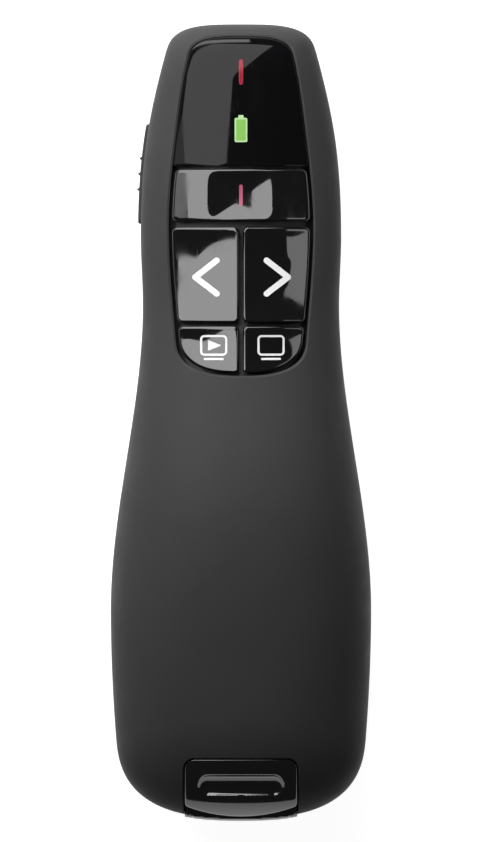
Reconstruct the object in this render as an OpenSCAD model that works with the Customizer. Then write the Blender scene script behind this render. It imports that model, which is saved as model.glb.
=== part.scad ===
// Wireless presentation clicker with a stowed USB receiver.
// The clicker lies on its back: X runs across it, Y from the tail to the head, Z up through the keys.
// The origin is in the middle of its length and width, on the surface that it lies on.

/* [Overall] */
// Length from the end of the receiver cap to the head
overall_length = 115.5; // [112:0.5:140]
// Width across the grip
grip_w = 37.74; // [37:0.5:46]
// Depth through the palm swell
grip_depth = 27.4; // [26.5:0.1:34]
// Wall thickness of both shells and the battery door
wall = 1.6; // [1.4:0.1:2]
// Height of the seam between the two shells
seam_z = 13; // [12.9:0.1:13.2]

/* [Outline] */
// Width across the tail before it rounds off
tail_w = 34; // [32:0.5:40]
// Distance of the widest place from the tail
grip_from_tail = 30.2; // [28:0.2:34]
// Width across the neck below the keys
neck_w = 28.44; // [27:0.2:34]
// Distance of the neck from the head
neck_from_head = 40.75; // [38:0.25:44]
// Width beside the keys
shoulder_w = 29.04; // [27.5:0.2:35]
// Distance of the shoulder from the head
shoulder_from_head = 30.75; // [29:0.25:33]
// Width beside the display window
brow_w = 26.4; // [25:0.2:31]
// Distance of the brow from the head
brow_from_head = 13.85; // [12:0.25:15]
// Width across the head before it rounds off
head_w = 19.5; // [18:0.5:24]

/* [Profile] */
// Share of the receiver's height that the crown has at the very tail
tail_share = 0.95; // [0.93:0.01:1.1]
// Rise of the crown from the tail to the heel above the receiver
heel_rise = 2.8; // [2.6:0.1:4]
// Distance of the palm swell from the tail
palm_from_tail = 42; // [38:1:50]
// Height of the crown at the neck
neck_crown = 22.5; // [22:0.1:27]
// Height of the crown at the head before it rounds off
head_crown = 20.9; // [20.5:0.1:24]
// Height of the belly under the index finger
saddle_z = 3.4; // [3:0.1:4]
// How deep the flat that the clicker lies on is cut into the belly curve
flat_cut = 1; // [0.8:0.05:1.2]

/* [Panel] */
// Distance of the opening for the window and the keys from the head
panel_from_head = 1.85; // [1.5:0.05:3]
// Length of the opening
panel_length = 49.1; // [49.1:0.1:52]
// Widest place of the opening, across the previous and next keys
panel_w = 20.9; // [20:0.1:22]
// Width of the opening at its head end
panel_head_w = 13.7; // [13:0.1:15]
// Width of the opening at its tail end
panel_tail_w = 18.1; // [17:0.1:19]
// Length of the display window
window_length = 18.85; // [17:0.05:20]
// Gap between the window and the laser key
window_row_gap = 0.4; // [0.3:0.05:0.6]
// Length of the laser key
laser_key_length = 7.55; // [7:0.05:8]
// Gap between the laser key and the arrow keys
arrow_row_gap = 0.8; // [0.5:0.05:1]
// Length of the previous and next keys
arrow_key_length = 13.8; // [12:0.1:14.2]
// Gap between the arrow keys and the two small keys
small_row_gap = 0.5; // [0.3:0.05:0.8]
// Gap between the keys and the case
key_side_gap = 0.45; // [0.3:0.05:0.6]
// Gap between a left key and a right key
key_middle_gap = 0.54; // [0.4:0.02:0.7]
// Gap between the window and the case
window_gap = 0.12; // [0.08:0.02:0.2]
// How far a key stands proud of the case
key_proud = 0.2; // [0:0.05:0.4]
// Thickness of a key cap
key_thickness = 1.5; // [1.2:0.1:1.6]
// Travel of a key
key_travel = 0.5; // [0.3:0.05:0.55]
// Thickness of the display window
window_thickness = 1.6; // [1.2:0.1:1.8]

/* [Circuit board] */
// Underside of the circuit board
board_z = 13.9; // [13.8:0.1:14.2]
// Thickness of the circuit board
board_t = 1.2; // [0.8:0.1:1.4]
// Greatest width of the circuit board
board_w = 24.8; // [24:0.2:26]
// Width of a tactile switch
switch_w = 4.5; // [4:0.1:5]
// Height of a tactile switch
switch_h = 2; // [1.8:0.1:2.2]
// Height of the switch plunger above its switch
plunger_reach = 0.6; // [0.55:0.05:0.8]
// Radius of a key stem
stem_r = 1.6; // [1.3:0.1:1.8]

/* [Power slider] */
// Distance of the middle of the slider from the head
slider_from_head = 21.65; // [21:0.25:24]
// Length of the slider cap
slider_length = 14.5; // [12:0.5:15]
// Lower edge of the slider cap
slider_low_z = 7.95; // [7.5:0.05:8.5]
// Height of the slider cap
slider_h = 4.5; // [4:0.1:4.6]
// How far the slider stands proud of the case
slider_proud = 0.3; // [0.2:0.05:0.5]
// Travel of the slider between off and on
slider_travel = 2.2; // [1.8:0.1:2.4]

/* [Laser] */
// Height of the laser's axis
laser_z = 9.6; // [9.4:0.1:9.8]
// Radius of the laser barrel
laser_r = 3; // [2.6:0.1:3.2]
// Length of the laser barrel
laser_length = 12; // [10:0.5:13]
// Distance of the front of the laser barrel from the head
laser_from_head = 5.4; // [5.2:0.1:6.5]
// Radius of the laser aperture
aperture_r = 2.2; // [1.8:0.1:2.3]

/* [Batteries] */
// Radius of an AAA cell
cell_r = 5.25; // [5.1:0.05:5.3]
// Length of an AAA cell with its nub
cell_length = 44.5; // [44:0.1:44.8]
// Gap between the two cells
cell_gap = 0.3; // [0.2:0.05:0.5]
// Height of the cells' axes
cell_z = 7.4; // [7.3:0.05:7.45]
// Space that a contact spring takes when a cell presses it
spring_length = 3.1; // [2.6:0.1:3.6]
// Distance of the battery bay from the tail wall
bay_from_wall = 8; // [7.8:0.1:9.4]

/* [Battery door] */
// Height of the door's side edges
door_edge_z = 5; // [4.6:0.1:5]
// Height of the door's edge round the tail
door_tail_z = 7.2; // [7:0.1:7.2]
// Length of the tail stretch with the higher edge
door_tail_length = 9.2; // [8.8:0.1:9.4]
// Distance of the door's head edge past the battery bay
door_past_bay = 6.6; // [6:0.2:8]
// Gap between the door and the rear shell
door_gap = 0.1; // [0.06:0.02:0.2]

/* [Receiver] */
// How far the receiver cap is wider than the stick on each side
cap_overhang = 0.55; // [0.3:0.05:0.8]
// Length of the notch that the cap fills
notch_length = 8.8; // [8:0.1:9.5]
// How far the cap stands out past the tail
cap_proud = 0.55; // [0.3:0.05:0.8]
// Width of the receiver stick
stick_w = 15.2; // [14.6:0.1:18]
// Height of the receiver stick
stick_h = 6.2; // [5.8:0.1:6.4]
// Length of the receiver stick behind its cap
stick_length = 17.7; // [15:0.5:19]
// Underside of the receiver
receiver_z = 14.3; // [14.2:0.1:14.5]
// Gap between the receiver and its dock
dock_gap = 0.1; // [0.06:0.02:0.2]

/* [Screws] */
// Radius of a screw shank
screw_r = 1; // [0.8:0.05:1.1]
// Radius of a screw head
screw_head_r = 1.9; // [1.6:0.05:2]
// Height of a screw head
screw_head_h = 1.3; // [1:0.1:1.5]

/* [Hidden] */

// Colours
soft_black = [0.13, 0.13, 0.135];
gloss_black = [0.03, 0.03, 0.035];
inner_grey = [0.3, 0.31, 0.32];
board_green = [0.05, 0.3, 0.16];
steel = [0.72, 0.73, 0.75];
brass = [0.8, 0.62, 0.3];

// Small sizes that repeat
fit = 0.1;          // side clearance of a piece in its seat
slip = 0.05;        // clearance of a sliding fit
overlap = 1;        // how far a cutting shape runs past the face that it cuts

// Places along Y
head_y = overall_length / 2;
tail_y = cap_proud - head_y;
grip_y = tail_y + grip_from_tail;
neck_y = head_y - neck_from_head;
shoulder_y = head_y - shoulder_from_head;
brow_y = head_y - brow_from_head;
heel_y = tail_y + 17.2;
palm_y = tail_y + palm_from_tail;
belly_heel_y = tail_y + 13;
belly_front_y = tail_y + 57.2;
saddle_y = head_y - 33.75;
chin_y = head_y - 5.75;

// Powers of the cross-section's curves above and below the seam
crown_power = 2.35;
belly_power = 2.5;
door_inner_power = 3;   // fuller inside the door, so that it slides clear of the cells

// The crown clears the upper corners of the receiver
corner_bow = bow(stick_w / 2, tail_w / 2 - wall, crown_power);
tail_crown = seam_z + wall + tail_share * (receiver_z + stick_h - seam_z) / corner_bow;
heel_crown = tail_crown + heel_rise;

// Curves along the case: [place, value, slope]
plan_curve = [
    [tail_y, tail_w / 2, 0.11],
    [grip_y, grip_w / 2, 0],
    [neck_y, neck_w / 2, 0],
    [shoulder_y, shoulder_w / 2, 0],
    [brow_y, brow_w / 2, -0.185],
    [head_y, head_w / 2, -0.29]];
crown_curve = [
    [tail_y, tail_crown - seam_z, 0.12],
    [heel_y, heel_crown - seam_z, 0.14],
    [palm_y, grip_depth - seam_z, 0],
    [neck_y, neck_crown - seam_z, -0.1],
    [brow_y, head_crown + 0.4 - seam_z, -0.03],
    [head_y, head_crown - seam_z, -0.02]];
belly_curve = [
    [tail_y, seam_z - 2, 0.1],
    [belly_heel_y, seam_z + flat_cut, 0.01],
    [belly_front_y, seam_z + flat_cut, -0.03],
    [saddle_y, seam_z - saddle_z, -0.05],
    [chin_y, seam_z - saddle_z, 0],
    [head_y, seam_z - saddle_z - 0.2, 0]];

// How the curves round off at the ends: [length of the rounding, power]
plan_head_round = [4.5, 3.5];
plan_tail_round = [12, 2.8];
crown_head_round = [8, 2.4];
crown_tail_round = [14, 2.2];
belly_head_round = [7, 2.4];
belly_tail_round = [11, 2.3];
end_share = 0.997;  // the rounding stops just short of a point

// Panel
panel_high_y = head_y - panel_from_head;
panel_low_y = panel_high_y - panel_length;
window_low_y = panel_high_y - window_length;
laser_key_high_y = window_low_y - window_row_gap;
laser_key_low_y = laser_key_high_y - laser_key_length;
arrow_key_high_y = laser_key_low_y - arrow_row_gap;
arrow_key_low_y = arrow_key_high_y - arrow_key_length;
small_key_high_y = arrow_key_low_y - small_row_gap;
small_key_low_y = panel_low_y + key_side_gap;
panel_curve = [
    [panel_low_y, panel_tail_w / 2, 0.06],
    [arrow_key_high_y, panel_w / 2, 0],
    [panel_high_y - 13.2, panel_w / 2 - 1.2, -0.12],
    [panel_high_y, panel_head_w / 2, -0.29]];
panel_head_round = [3, 3.2];
panel_tail_round = [5, 2.6];
key_corner_r = 0.4;
frame_top = 2.5;        // depth of the key frame below the case's outer face
frame_thickness = 1;
frame_reach = 0.8;      // how far the key frame runs past the opening

// Keys and their switches
board_top = board_z + board_t;
switch_top = board_top + switch_h;
plunger_top = switch_top + plunger_reach;
plunger_r = 1.1;
plunger_seat = 0.9;     // length of the plunger inside its switch
laser_key_xy = [0, (laser_key_high_y + laser_key_low_y) / 2];
arrow_key_x = 5.2;
arrow_key_y = (arrow_key_high_y + arrow_key_low_y) / 2;
small_key_x = 4.6;
small_key_y = (small_key_high_y + small_key_low_y) / 2;
key_places = [
    laser_key_xy,
    [-arrow_key_x, arrow_key_y],
    [arrow_key_x, arrow_key_y],
    [-small_key_x, small_key_y],
    [small_key_x, small_key_y]];

// Lights behind the window
laser_light_y = panel_high_y - 5.23;
battery_light_y = panel_high_y - 13.6;
laser_light = [0.57, 3.7];
battery_light = [1.83, 3.5];
battery_light_nub = [0.76, 0.4];
light_gap = 0.03;
led_size = [1.6, 2.4, 1.1];

// Power slider: its own frame lies on the outline, with +Y along it and -X outwards
slider_y = head_y - slider_from_head;
slider_slope = -0.0802;
slider_turn = atan(slider_slope);
slider_cap_inset = 0.5;
slider_pocket_inset = 0.75;
slider_stem = [1.6, 9.4, 11.2];     // half length, low and high Z
slider_fork = [wall + 0.35, wall + 1.1];    // nearest and furthest place from the outline
lever_half = 0.75;
lever_reach = 0.8;                  // how far the lever goes into the slide switch
lever_z = [11.7, 12.8];
slide_switch_x = [slider_fork[1] + 0.2, slider_fork[1] + 3.7];
slide_switch_half = 3.6;
slide_switch_h = 3;
grip_rib_w = 0.55;      // half width at the foot
grip_rib_h = 0.3;
grip_rib_pitch = 2.25;

// Laser
laser_front_y = head_y - laser_from_head;
laser_back_y = laser_front_y - laser_length;
lens_t = 0.7;
lens_y = head_y - 1.6;

// Batteries
cell_x = cell_r + cell_gap / 2;
bay_tail_y = tail_y + wall + bay_from_wall;
contact_t = 0.4;
contact_bump = 0.6;
contact_tab = 1.6;
bay_length = cell_length + spring_length + contact_bump + 2 * contact_t;
bay_head_y = bay_tail_y + bay_length;
left_cell_y = bay_tail_y + contact_t + spring_length;
right_cell_y = bay_tail_y + contact_t + contact_bump;
cell_nub = [1.9, 1];                // radius and length
tub_gap = 0.1;
tub_wall = 0.55;
tub_end_wall = 1.2;
tub_x = cell_x + cell_r + tub_gap;
tub_low_z = door_edge_z + 0.2;
tub_roof_z = cell_z + cell_r + 0.2;
tub_top_z = seam_z + 0.5;

// Battery door
door_head_y = bay_head_y + door_past_bay;
door_step_y = tail_y + door_tail_length;
hook_leg = [tub_x + tub_wall + 0.1, 0.8];       // nearest place to the middle, thickness
hook_foot_x = hook_leg[0] + 1.9;
hook_z = [6.05, 6.8];
hook_length = 3.6;
hook_places = [bay_head_y - 12, bay_head_y - 26, bay_head_y - 40];
ledge_x = hook_leg[0] + 1;
ledge_z = [door_edge_z + door_gap, 5.9];
ledge_length = hook_length + 1;
tongue = [8, 2, 1.4];               // width, length past the door, thickness
tongue_z = 2.1;
shelf_t = 1.2;
bulkhead_y = door_head_y + 0.2;
tail_shelf_z = door_tail_z + door_gap;

// Receiver
cap_w = stick_w + 2 * cap_overhang;
notch_y = tail_y + notch_length;
notch_corner_r = 1.6;
notch_gap = 0.15;
notch_z = receiver_z - 0.1;
stick_root_y = notch_y - 0.3;
stick_end_y = stick_root_y + stick_length;
usb = [12, 12, 4.5];                // width, length past the stick, height
usb_root_y = stick_end_y - 3;
usb_wall = 0.3;
usb_z = receiver_z + stick_h / 2;
usb_tongue_h = 1.9;
stick_wall = 0.8;
dock_wall = 1;
dock_roof = 0.7;
dock_half = stick_w / 2 + dock_gap + dock_wall;
dock_low_z = tub_top_z + 0.05;
dock_tail_y = notch_y + 4.4;
dock_head_y = stick_end_y + usb[1] + 1.5;

// Circuit board, from the dock to the wall at the head
board_low_y = dock_head_y + 4.5;
board_high_y = head_y - wall - 3.15;
contact_slot_y = [bay_head_y - contact_t - fit, bay_head_y + fit];

// Screws: [x, y, underside of the boss, length below the head]
screw_gap = 0.02;
boss_r = 2.3;
post_r = 1.8;
front_screw = [7.5, bay_head_y + tub_end_wall + boss_r + 0.15, tub_low_z, 11];
tail_screw = [dock_half + boss_r, tail_y + wall + 4.4, tail_shelf_z, 8];
head_recess = 1.5;
board_screw_places = [[0, laser_key_low_y - 1.9], [0, small_key_high_y + 1.9]];
board_screw_length = 5;

// ---------------------------------------------------------------- curves

// Value at y of the curve through points of [place, value, slope]
function curve(points, y) =
    let (
        i = max([for (k = [0:len(points) - 2]) k == 0 || y >= points[k][0] ? k : 0]),
        a = points[i],
        b = points[i + 1],
        h = b[0] - a[0],
        t = (y - a[0]) / h)
    (2 * t ^ 3 - 3 * t ^ 2 + 1) * a[1] + (t ^ 3 - 2 * t ^ 2 + t) * h * a[2]
    + (3 * t ^ 2 - 2 * t ^ 3) * b[1] + (t ^ 3 - t ^ 2) * h * b[2];

// Share of the full size that is left at y, near an end that rounds off
function rounding(y, end_y, round) =
    let (u = end_share * min(1, max(0, 1 - abs(end_y - y) / round[0])))
    (1 - u ^ round[1]) ^ (1 / round[1]);

// Size of a curve at y, inset from the outer face, with both ends rounded
function rounded_curve(points, y, inset, tail_round, head_round) =
    (curve(points, y) - inset)
    * rounding(y, tail_y + inset, tail_round)
    * rounding(y, head_y - inset, head_round);

// Half width, height above the seam and depth below it, inset from the outer face
function half_width(y, inset = 0) =
    rounded_curve(plan_curve, y, inset, plan_tail_round, plan_head_round);
function rise(y, inset = 0) =
    rounded_curve(crown_curve, y, inset, crown_tail_round, crown_head_round);
function fall(y, inset = 0) =
    rounded_curve(belly_curve, y, inset, belly_tail_round, belly_head_round);

// Share of the height that a cross-section keeps at x
function bow(x, w, power) = max(0, 1 - min(1, abs(x) / w) ^ power) ^ (1 / power);

// Height of the outer face above and below the seam
function crown_z(x, y) = seam_z + rise(y) * bow(x, half_width(y), crown_power);
function belly_z(x, y) = max(0, seam_z - fall(y) * bow(x, half_width(y), belly_power));

// Half width of the panel's opening, with an even gap all round
function panel_half(y, gap) =
    (curve(panel_curve, y) - gap)
    * rounding(y, panel_low_y + gap, panel_tail_round)
    * rounding(y, panel_high_y - gap, panel_head_round);

// Places between two ends: close together where the ends round off
function rows(low, high, low_round, high_round, end_steps, middle_steps) = concat(
    [for (i = [0:end_steps]) low + low_round * (1 - cos(90 * i / end_steps))],
    [for (i = [1:middle_steps - 1])
        low + low_round + (high - high_round - low - low_round) * i / middle_steps],
    [for (i = [0:end_steps]) high - high_round * (1 - sin(90 * i / end_steps))]);
function case_rows(inset, end_steps, middle_steps) = rows(
    tail_y + inset, head_y - inset, crown_tail_round[0], crown_head_round[0],
    end_steps, middle_steps);
function even_rows(low, high, steps) = [for (i = [0:steps]) low + (high - low) * i / steps];

// Coordinate of a cross-section's curve: its sign is kept
function bent(v, power) = sign(v) * abs(v) ^ (2 / power);

// Cross-sections above and below the seam, with a skirt past it
function upper_ring(y, inset, skirt, steps) =
    let (w = half_width(y, inset), h = rise(y, inset))
    concat(
        [for (i = [0:steps]) let (a = 180 * i / steps)
            [w * bent(cos(a), crown_power), y, seam_z + h * bent(sin(a), crown_power)]],
        skirt > 0 ? [[-w, y, seam_z - skirt], [w, y, seam_z - skirt]] : []);
function lower_ring(y, inset, skirt, steps, power) =
    let (w = half_width(y, inset), h = fall(y, inset), floor_z = max(0, inset))
    concat(
        [for (i = [0:steps]) let (a = 180 + 180 * i / steps)
            [w * bent(cos(a), power), y, max(floor_z, seam_z + h * bent(sin(a), power))]],
        skirt > 0 ? [[w, y, seam_z + skirt], [-w, y, seam_z + skirt]] : []);

// ---------------------------------------------------------------- shared shapes

// Solid through closed rings that all have the same number of points
module loft(rings) {
    n = len(rings[0]);
    last = len(rings) - 1;
    sides = [for (j = [0:last - 1]) for (k = [0:n - 1]) let (m = (k + 1) % n)
        each [[j * n + k, j * n + m, (j + 1) * n + m],
              [j * n + k, (j + 1) * n + m, (j + 1) * n + k]]];
    // each end is a strip between opposite points, so a bent section closes as well as a round one
    strip = [for (k = [0:floor(n / 2) - 1])
        each [if (k + 1 < n - 1 - k) [k, k + 1, n - 1 - k],
              if (k + 1 < n - 2 - k) [k + 1, n - 2 - k, n - 1 - k]]];
    low_end = [for (f = strip) [f[2], f[1], f[0]]];
    high_end = [for (f = strip) [for (k = f) last * n + k]];
    polyhedron(points = [for (ring = rings) each ring], faces = concat(sides, low_end, high_end));
}

module upper_form(inset, skirt, places, steps) {
    loft([for (y = places) upper_ring(y, inset, skirt, steps)]);
}

module lower_form(inset, skirt, places, steps, power = belly_power) {
    loft([for (y = places) lower_ring(y, inset, skirt, steps, power)]);
}

// Block from low to high, [x, y] corners, whose top lies at a depth below the crown
// and whose underside lies at a greater depth, or flat at flat_z
module crown_block(low, high, depth, under, cells, flat_z = undef) {
    loft([for (y = even_rows(low[1], high[1], cells[1])) concat(
        [for (x = even_rows(high[0], low[0], cells[0])) [x, y, crown_z(x, y) - depth]],
        is_undef(flat_z)
            ? [for (x = even_rows(low[0], high[0], cells[0])) [x, y, crown_z(x, y) - under]]
            : [[low[0], y, flat_z], [high[0], y, flat_z]])]);
}

// Block that stands on the belly, at a height above its outer face, with a flat top
module belly_block(low, high, height, cells, flat_z) {
    loft([for (y = even_rows(low[1], high[1], cells[1])) concat(
        [[high[0], y, flat_z], [low[0], y, flat_z]],
        [for (x = even_rows(low[0], high[0], cells[0])) [x, y, belly_z(x, y) + height]])]);
}

// Box between two corners
module box(low, high) {
    translate(low)
        cube(high - low);
}

// The same piece on both sides of the middle
module both_sides() {
    for (side = [0, 1])
        mirror([side, 0, 0])
            children();
}

// Upright cylinder at [x, y] between two heights
module upright(place, r, low, high, facets = 32) {
    translate([place[0], place[1], low])
        cylinder(r = r, h = high - low, $fn = facets);
}

// Flat outline of the panel's opening with a gap all round
module panel_outline(gap) {
    places = rows(panel_low_y + gap, panel_high_y - gap,
                  panel_tail_round[0], panel_head_round[0], 6, 8);
    polygon(concat(
        [for (y = places) [panel_half(y, gap), y]],
        [for (i = [len(places) - 1:-1:0]) [-panel_half(places[i], gap), places[i]]]));
}

// Part of the panel between two places along Y and two along X, with its corners eased
module panel_part(gap, low, high, corner_r = key_corner_r) {
    offset(r = corner_r, $fn = 16)
        offset(delta = -corner_r)
            intersection() {
                panel_outline(gap);
                translate(low)
                    square(high - low);
            }
}

// ---------------------------------------------------------------- case

// Hollow upper half of the case
module upper_wall() {
    difference() {
        upper_form(0, 0, case_rows(0, 9, 20), 18);
        upper_form(wall, 2, case_rows(wall, 6, 20), 14);
    }
}

// Screw boss that hangs from the crown and ends inside its wall
module crown_boss(place) {
    intersection() {
        upright(place, boss_r - 0.2, seam_z, grip_depth);
        crown_block([place[0] - boss_r, place[1] - boss_r], [place[0] + boss_r, place[1] + boss_r],
                    wall / 2, 0, [3, 2], seam_z - overlap);
    }
}

// Lips that drop into the rear shell and line up the seam, left out beside the power slider
module seam_lips() {
    lip = [0.3, 1.1];
    low = seam_z - 1.4;
    high = seam_z + 0.8;
    places = even_rows(tail_y + 14, head_y - 7, 14);
    edge = function (inset) [for (y = places) [half_width(y) - inset, y]];
    ring = function (near, far) concat(edge(near),
        [for (i = [len(places) - 1:-1:0]) [half_width(places[i]) - far, places[i]]]);
    difference() {
        both_sides() {
            translate([0, 0, low])
                linear_extrude(high - low)
                    polygon(ring(wall + lip[0], wall + lip[1]));
            translate([0, 0, seam_z])
                linear_extrude(high - seam_z)
                    polygon(ring(wall / 2, wall + lip[1]));
        }
        slider_frame()
            box([0, -slider_length / 2 - 2, low - overlap],
                [5, slider_length / 2 + 2, high + overlap]);
    }
}

// Notch for the receiver cap, seen from above
module notch_outline(gap) {
    half = cap_w / 2 + notch_gap - gap;
    r = notch_corner_r - gap;
    y = notch_y - gap;
    translate([-half, -head_y - 2 * overlap])
        square([2 * half, y - r + head_y + 2 * overlap]);
    translate([-half + r, y - 2 * r])
        square([2 * (half - r), 2 * r]);
    for (side = [-1, 1])
        translate([side * (half - r), y - r])
            circle(r = r, $fn = 32);
}

module top_shell() {
    color(soft_black)
    difference() {
        union() {
            upper_wall();
            seam_lips();
            both_sides() {
                crown_boss(front_screw);
                crown_boss(tail_screw);
            }
        }
        translate([0, 0, seam_z + overlap])
            linear_extrude(grip_depth)
                panel_outline(0);
        translate([0, 0, notch_z])
            linear_extrude(grip_depth)
                notch_outline(0);
        both_sides()
            for (screw = [front_screw, tail_screw])
                upright(screw, screw_r + screw_gap, seam_z - overlap,
                        screw[2] + head_recess + screw[3] + 0.5);
    }
}

// Space that the battery door takes, grown by a gap
module door_zone(gap) {
    box([-grip_w, -head_y - 2 * overlap, -overlap],
        [grip_w, door_step_y + gap, door_tail_z + gap]);
    box([-grip_w, door_step_y - overlap, -overlap],
        [grip_w, door_head_y + gap, door_edge_z + gap]);
}

// Hollow lower half of the case
module lower_wall() {
    difference() {
        lower_form(0, 0, case_rows(0, 9, 20), 18);
        lower_form(wall, 2, case_rows(wall, 6, 13), 12);
    }
}

// Slab across the rear shell that ends inside its walls
module cross_wall(low_y, high_y, low_z, high_z, steps) {
    intersection() {
        lower_form(wall / 2, 0, even_rows(low_y, high_y, steps), 12);
        box([-grip_w, low_y - overlap, low_z], [grip_w, high_y + overlap, high_z]);
    }
}

// Post or boss of the rear shell that starts inside its wall
module belly_post(place, r, high) {
    intersection() {
        upright(place, r, 0, high);
        belly_block([place[0] - r, place[1] - r], [place[0] + r, place[1] + r],
                    wall / 2, [2, 2], high + overlap);
    }
}

// Place, turn and travel of the power slider
module slider_frame() {
    translate([-half_width(slider_y), slider_y, 0])
        rotate([0, 0, slider_turn])
            children();
}

// Shape between two insets of the rear shell's side, inside a box of the slider's frame
module side_layer(outer_inset, inner_inset, half_length, low, high, steps) {
    places = even_rows(slider_y - half_length - overlap, slider_y + half_length + overlap, steps);
    intersection() {
        difference() {
            lower_form(outer_inset, overlap, places, 16);
            lower_form(inner_inset, 2 * overlap, concat(
                [places[0] - overlap], places, [places[steps] + overlap]), 16);
        }
        slider_frame()
            box([-overlap, -half_length, low], [4, half_length, high]);
    }
}

// Ribs that carry the laser barrel
module laser_cradle() {
    rib_t = 1.2;
    for (y = [laser_back_y + 2, laser_front_y - 3])
        difference() {
            cross_wall(y, y + rib_t, 0, laser_z, 1);
            translate([0, y - overlap, laser_z])
                rotate([-90, 0, 0])
                    cylinder(r = laser_r + slip, h = rib_t + 2 * overlap, $fn = 32);
            both_sides()
                box([laser_r + 2.5, y - overlap, 0], [grip_w, y + rib_t + overlap, laser_z + overlap]);
        }
}

module rear_shell() {
    color(soft_black)
    difference() {
        union() {
            lower_wall();
            cross_wall(bulkhead_y, bulkhead_y + shelf_t, 0, tub_low_z + shelf_t, 1);
            cross_wall(bay_head_y + tub_end_wall, bulkhead_y + shelf_t,
                       tub_low_z, tub_low_z + shelf_t, 2);
            cross_wall(tail_y + wall / 2, bay_tail_y - tub_end_wall - fit,
                       tail_shelf_z, tail_shelf_z + shelf_t, 5);
            for (y = hook_places)
                difference() {
                    cross_wall(y - ledge_length / 2, y + ledge_length / 2,
                               ledge_z[0], ledge_z[1], 1);
                    box([-ledge_x, y - ledge_length, 0], [ledge_x, y + ledge_length, seam_z]);
                }
            both_sides() {
                upright(front_screw, boss_r, tub_low_z, seam_z);
                upright(tail_screw, boss_r, tail_shelf_z, seam_z);
            }
            for (place = board_screw_places)
                belly_post(place, post_r, board_z);
            laser_cradle();
        }
        door_zone(door_gap);
        // slot for the door's tongue
        box([-tongue[0] / 2 - fit, door_head_y - overlap, tongue_z - fit],
            [tongue[0] / 2 + fit, bulkhead_y + shelf_t + overlap, tongue_z + tongue[2] + fit]);
        both_sides()
            for (screw = [front_screw, tail_screw]) {
                upright(screw, screw_head_r + 0.2, screw[2] - overlap, screw[2] + head_recess);
                upright(screw, screw_r + 0.15, screw[2], seam_z + overlap);
            }
        for (place = board_screw_places)
            upright(place, screw_r + screw_gap, board_z - board_screw_length, board_z + overlap);
        // pocket and slot for the power slider
        side_layer(-overlap, slider_pocket_inset, slider_length / 2 + slider_travel / 2 + 0.15,
                   slider_low_z - 0.15, slider_low_z + slider_h + 0.15, 8);
        slider_frame()
            box([-overlap, -slider_stem[0] - slider_travel / 2 - 0.15, slider_stem[1] - 0.2],
                [slider_fork[1], slider_stem[0] + slider_travel / 2 + 0.15, slider_stem[2] + 0.2]);
        // laser aperture
        translate([0, laser_front_y, laser_z])
            rotate([-90, 0, 0])
                cylinder(r = aperture_r, h = laser_from_head + overlap, $fn = 32);
    }
}

// Hook that slides over a ledge of the rear shell
module door_hook(y) {
    leg = hook_leg[0];
    intersection() {
        box([leg, y - hook_length / 2, 0], [leg + hook_leg[1], y + hook_length / 2, hook_z[1]]);
        belly_block([leg - overlap, y - hook_length], [leg + 2, y + hook_length],
                    wall / 2, [2, 1], seam_z);
    }
    box([leg, y - hook_length / 2, hook_z[0]], [hook_foot_x, y + hook_length / 2, hook_z[1]]);
}

module battery_door() {
    outer_places = concat([for (y = case_rows(0, 9, 20)) if (y < door_head_y - 1) y], [door_head_y]);
    inner_places = concat([for (y = case_rows(wall, 6, 13)) if (y < door_head_y - 2) y],
                          [door_head_y + overlap]);
    groove_w = 0.8;
    color(soft_black)
    difference() {
        union() {
            intersection() {
                difference() {
                    lower_form(0, 0, outer_places, 18);
                    lower_form(wall, 2, inner_places, 12, door_inner_power);
                }
                door_zone(0);
            }
            both_sides()
                for (y = hook_places)
                    door_hook(y);
            box([-tongue[0] / 2, door_head_y - 1.5, wall / 2],
                [tongue[0] / 2, door_head_y, tongue_z + tongue[2]]);
            box([-tongue[0] / 2, door_head_y - 1.5, tongue_z],
                [tongue[0] / 2, door_head_y + tongue[1], tongue_z + tongue[2]]);
        }
        // thumb grooves
        for (i = [0:4])
            translate([0, door_head_y - 6 - 2 * groove_w * i, 0])
                box([-5, -groove_w / 2, -overlap], [5, groove_w / 2, 0.4]);
    }
}

// ---------------------------------------------------------------- window and keys

// Outline of a light guide, grown by a gap
module laser_light_outline(gap) {
    translate([0, laser_light_y])
        square([laser_light[0] + 2 * gap, laser_light[1] + 2 * gap], center = true);
}

module battery_light_outline(gap) {
    translate([0, battery_light_y])
        square([battery_light[0] + 2 * gap, battery_light[1] + 2 * gap], center = true);
    translate([0, battery_light_y + battery_light[1] / 2])
        square([battery_light_nub[0] + 2 * gap, 2 * battery_light_nub[1] + 2 * gap], center = true);
}

module display_window() {
    places = concat(even_rows(window_low_y, panel_high_y - panel_head_round[0] - 1, 8),
        [for (i = [1:8]) panel_high_y - window_gap
            - (panel_head_round[0] + 1 - window_gap) * (1 - sin(90 * i / 8))]);
    color(gloss_black)
    difference() {
        loft([for (y = places) let (half = panel_half(y, window_gap)) concat(
            [for (x = even_rows(half, -half, 14)) [x, y, crown_z(x, y)]],
            [for (x = even_rows(-half, half, 14)) [x, y, crown_z(x, y) - window_thickness]])]);
        linear_extrude(grip_depth) {
            laser_light_outline(light_gap);
            battery_light_outline(light_gap);
        }
    }
}

// Guide that carries the light of an LED up through the window
module light_guide(y, size) {
    low = board_top + led_size[2] + fit;
    intersection() {
        crown_block([-size[0], y - size[1]], [size[0], y + size[1]], 0, 0, [2, 6], low);
        linear_extrude(grip_depth)
            children();
    }
}

module laser_light_guide() {
    color([0.8, 0.08, 0.12])
        light_guide(laser_light_y, laser_light)
            laser_light_outline(0);
}

module battery_light_guide() {
    color([0.3, 0.75, 0.25])
        light_guide(battery_light_y, battery_light)
            battery_light_outline(0);
}

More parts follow.
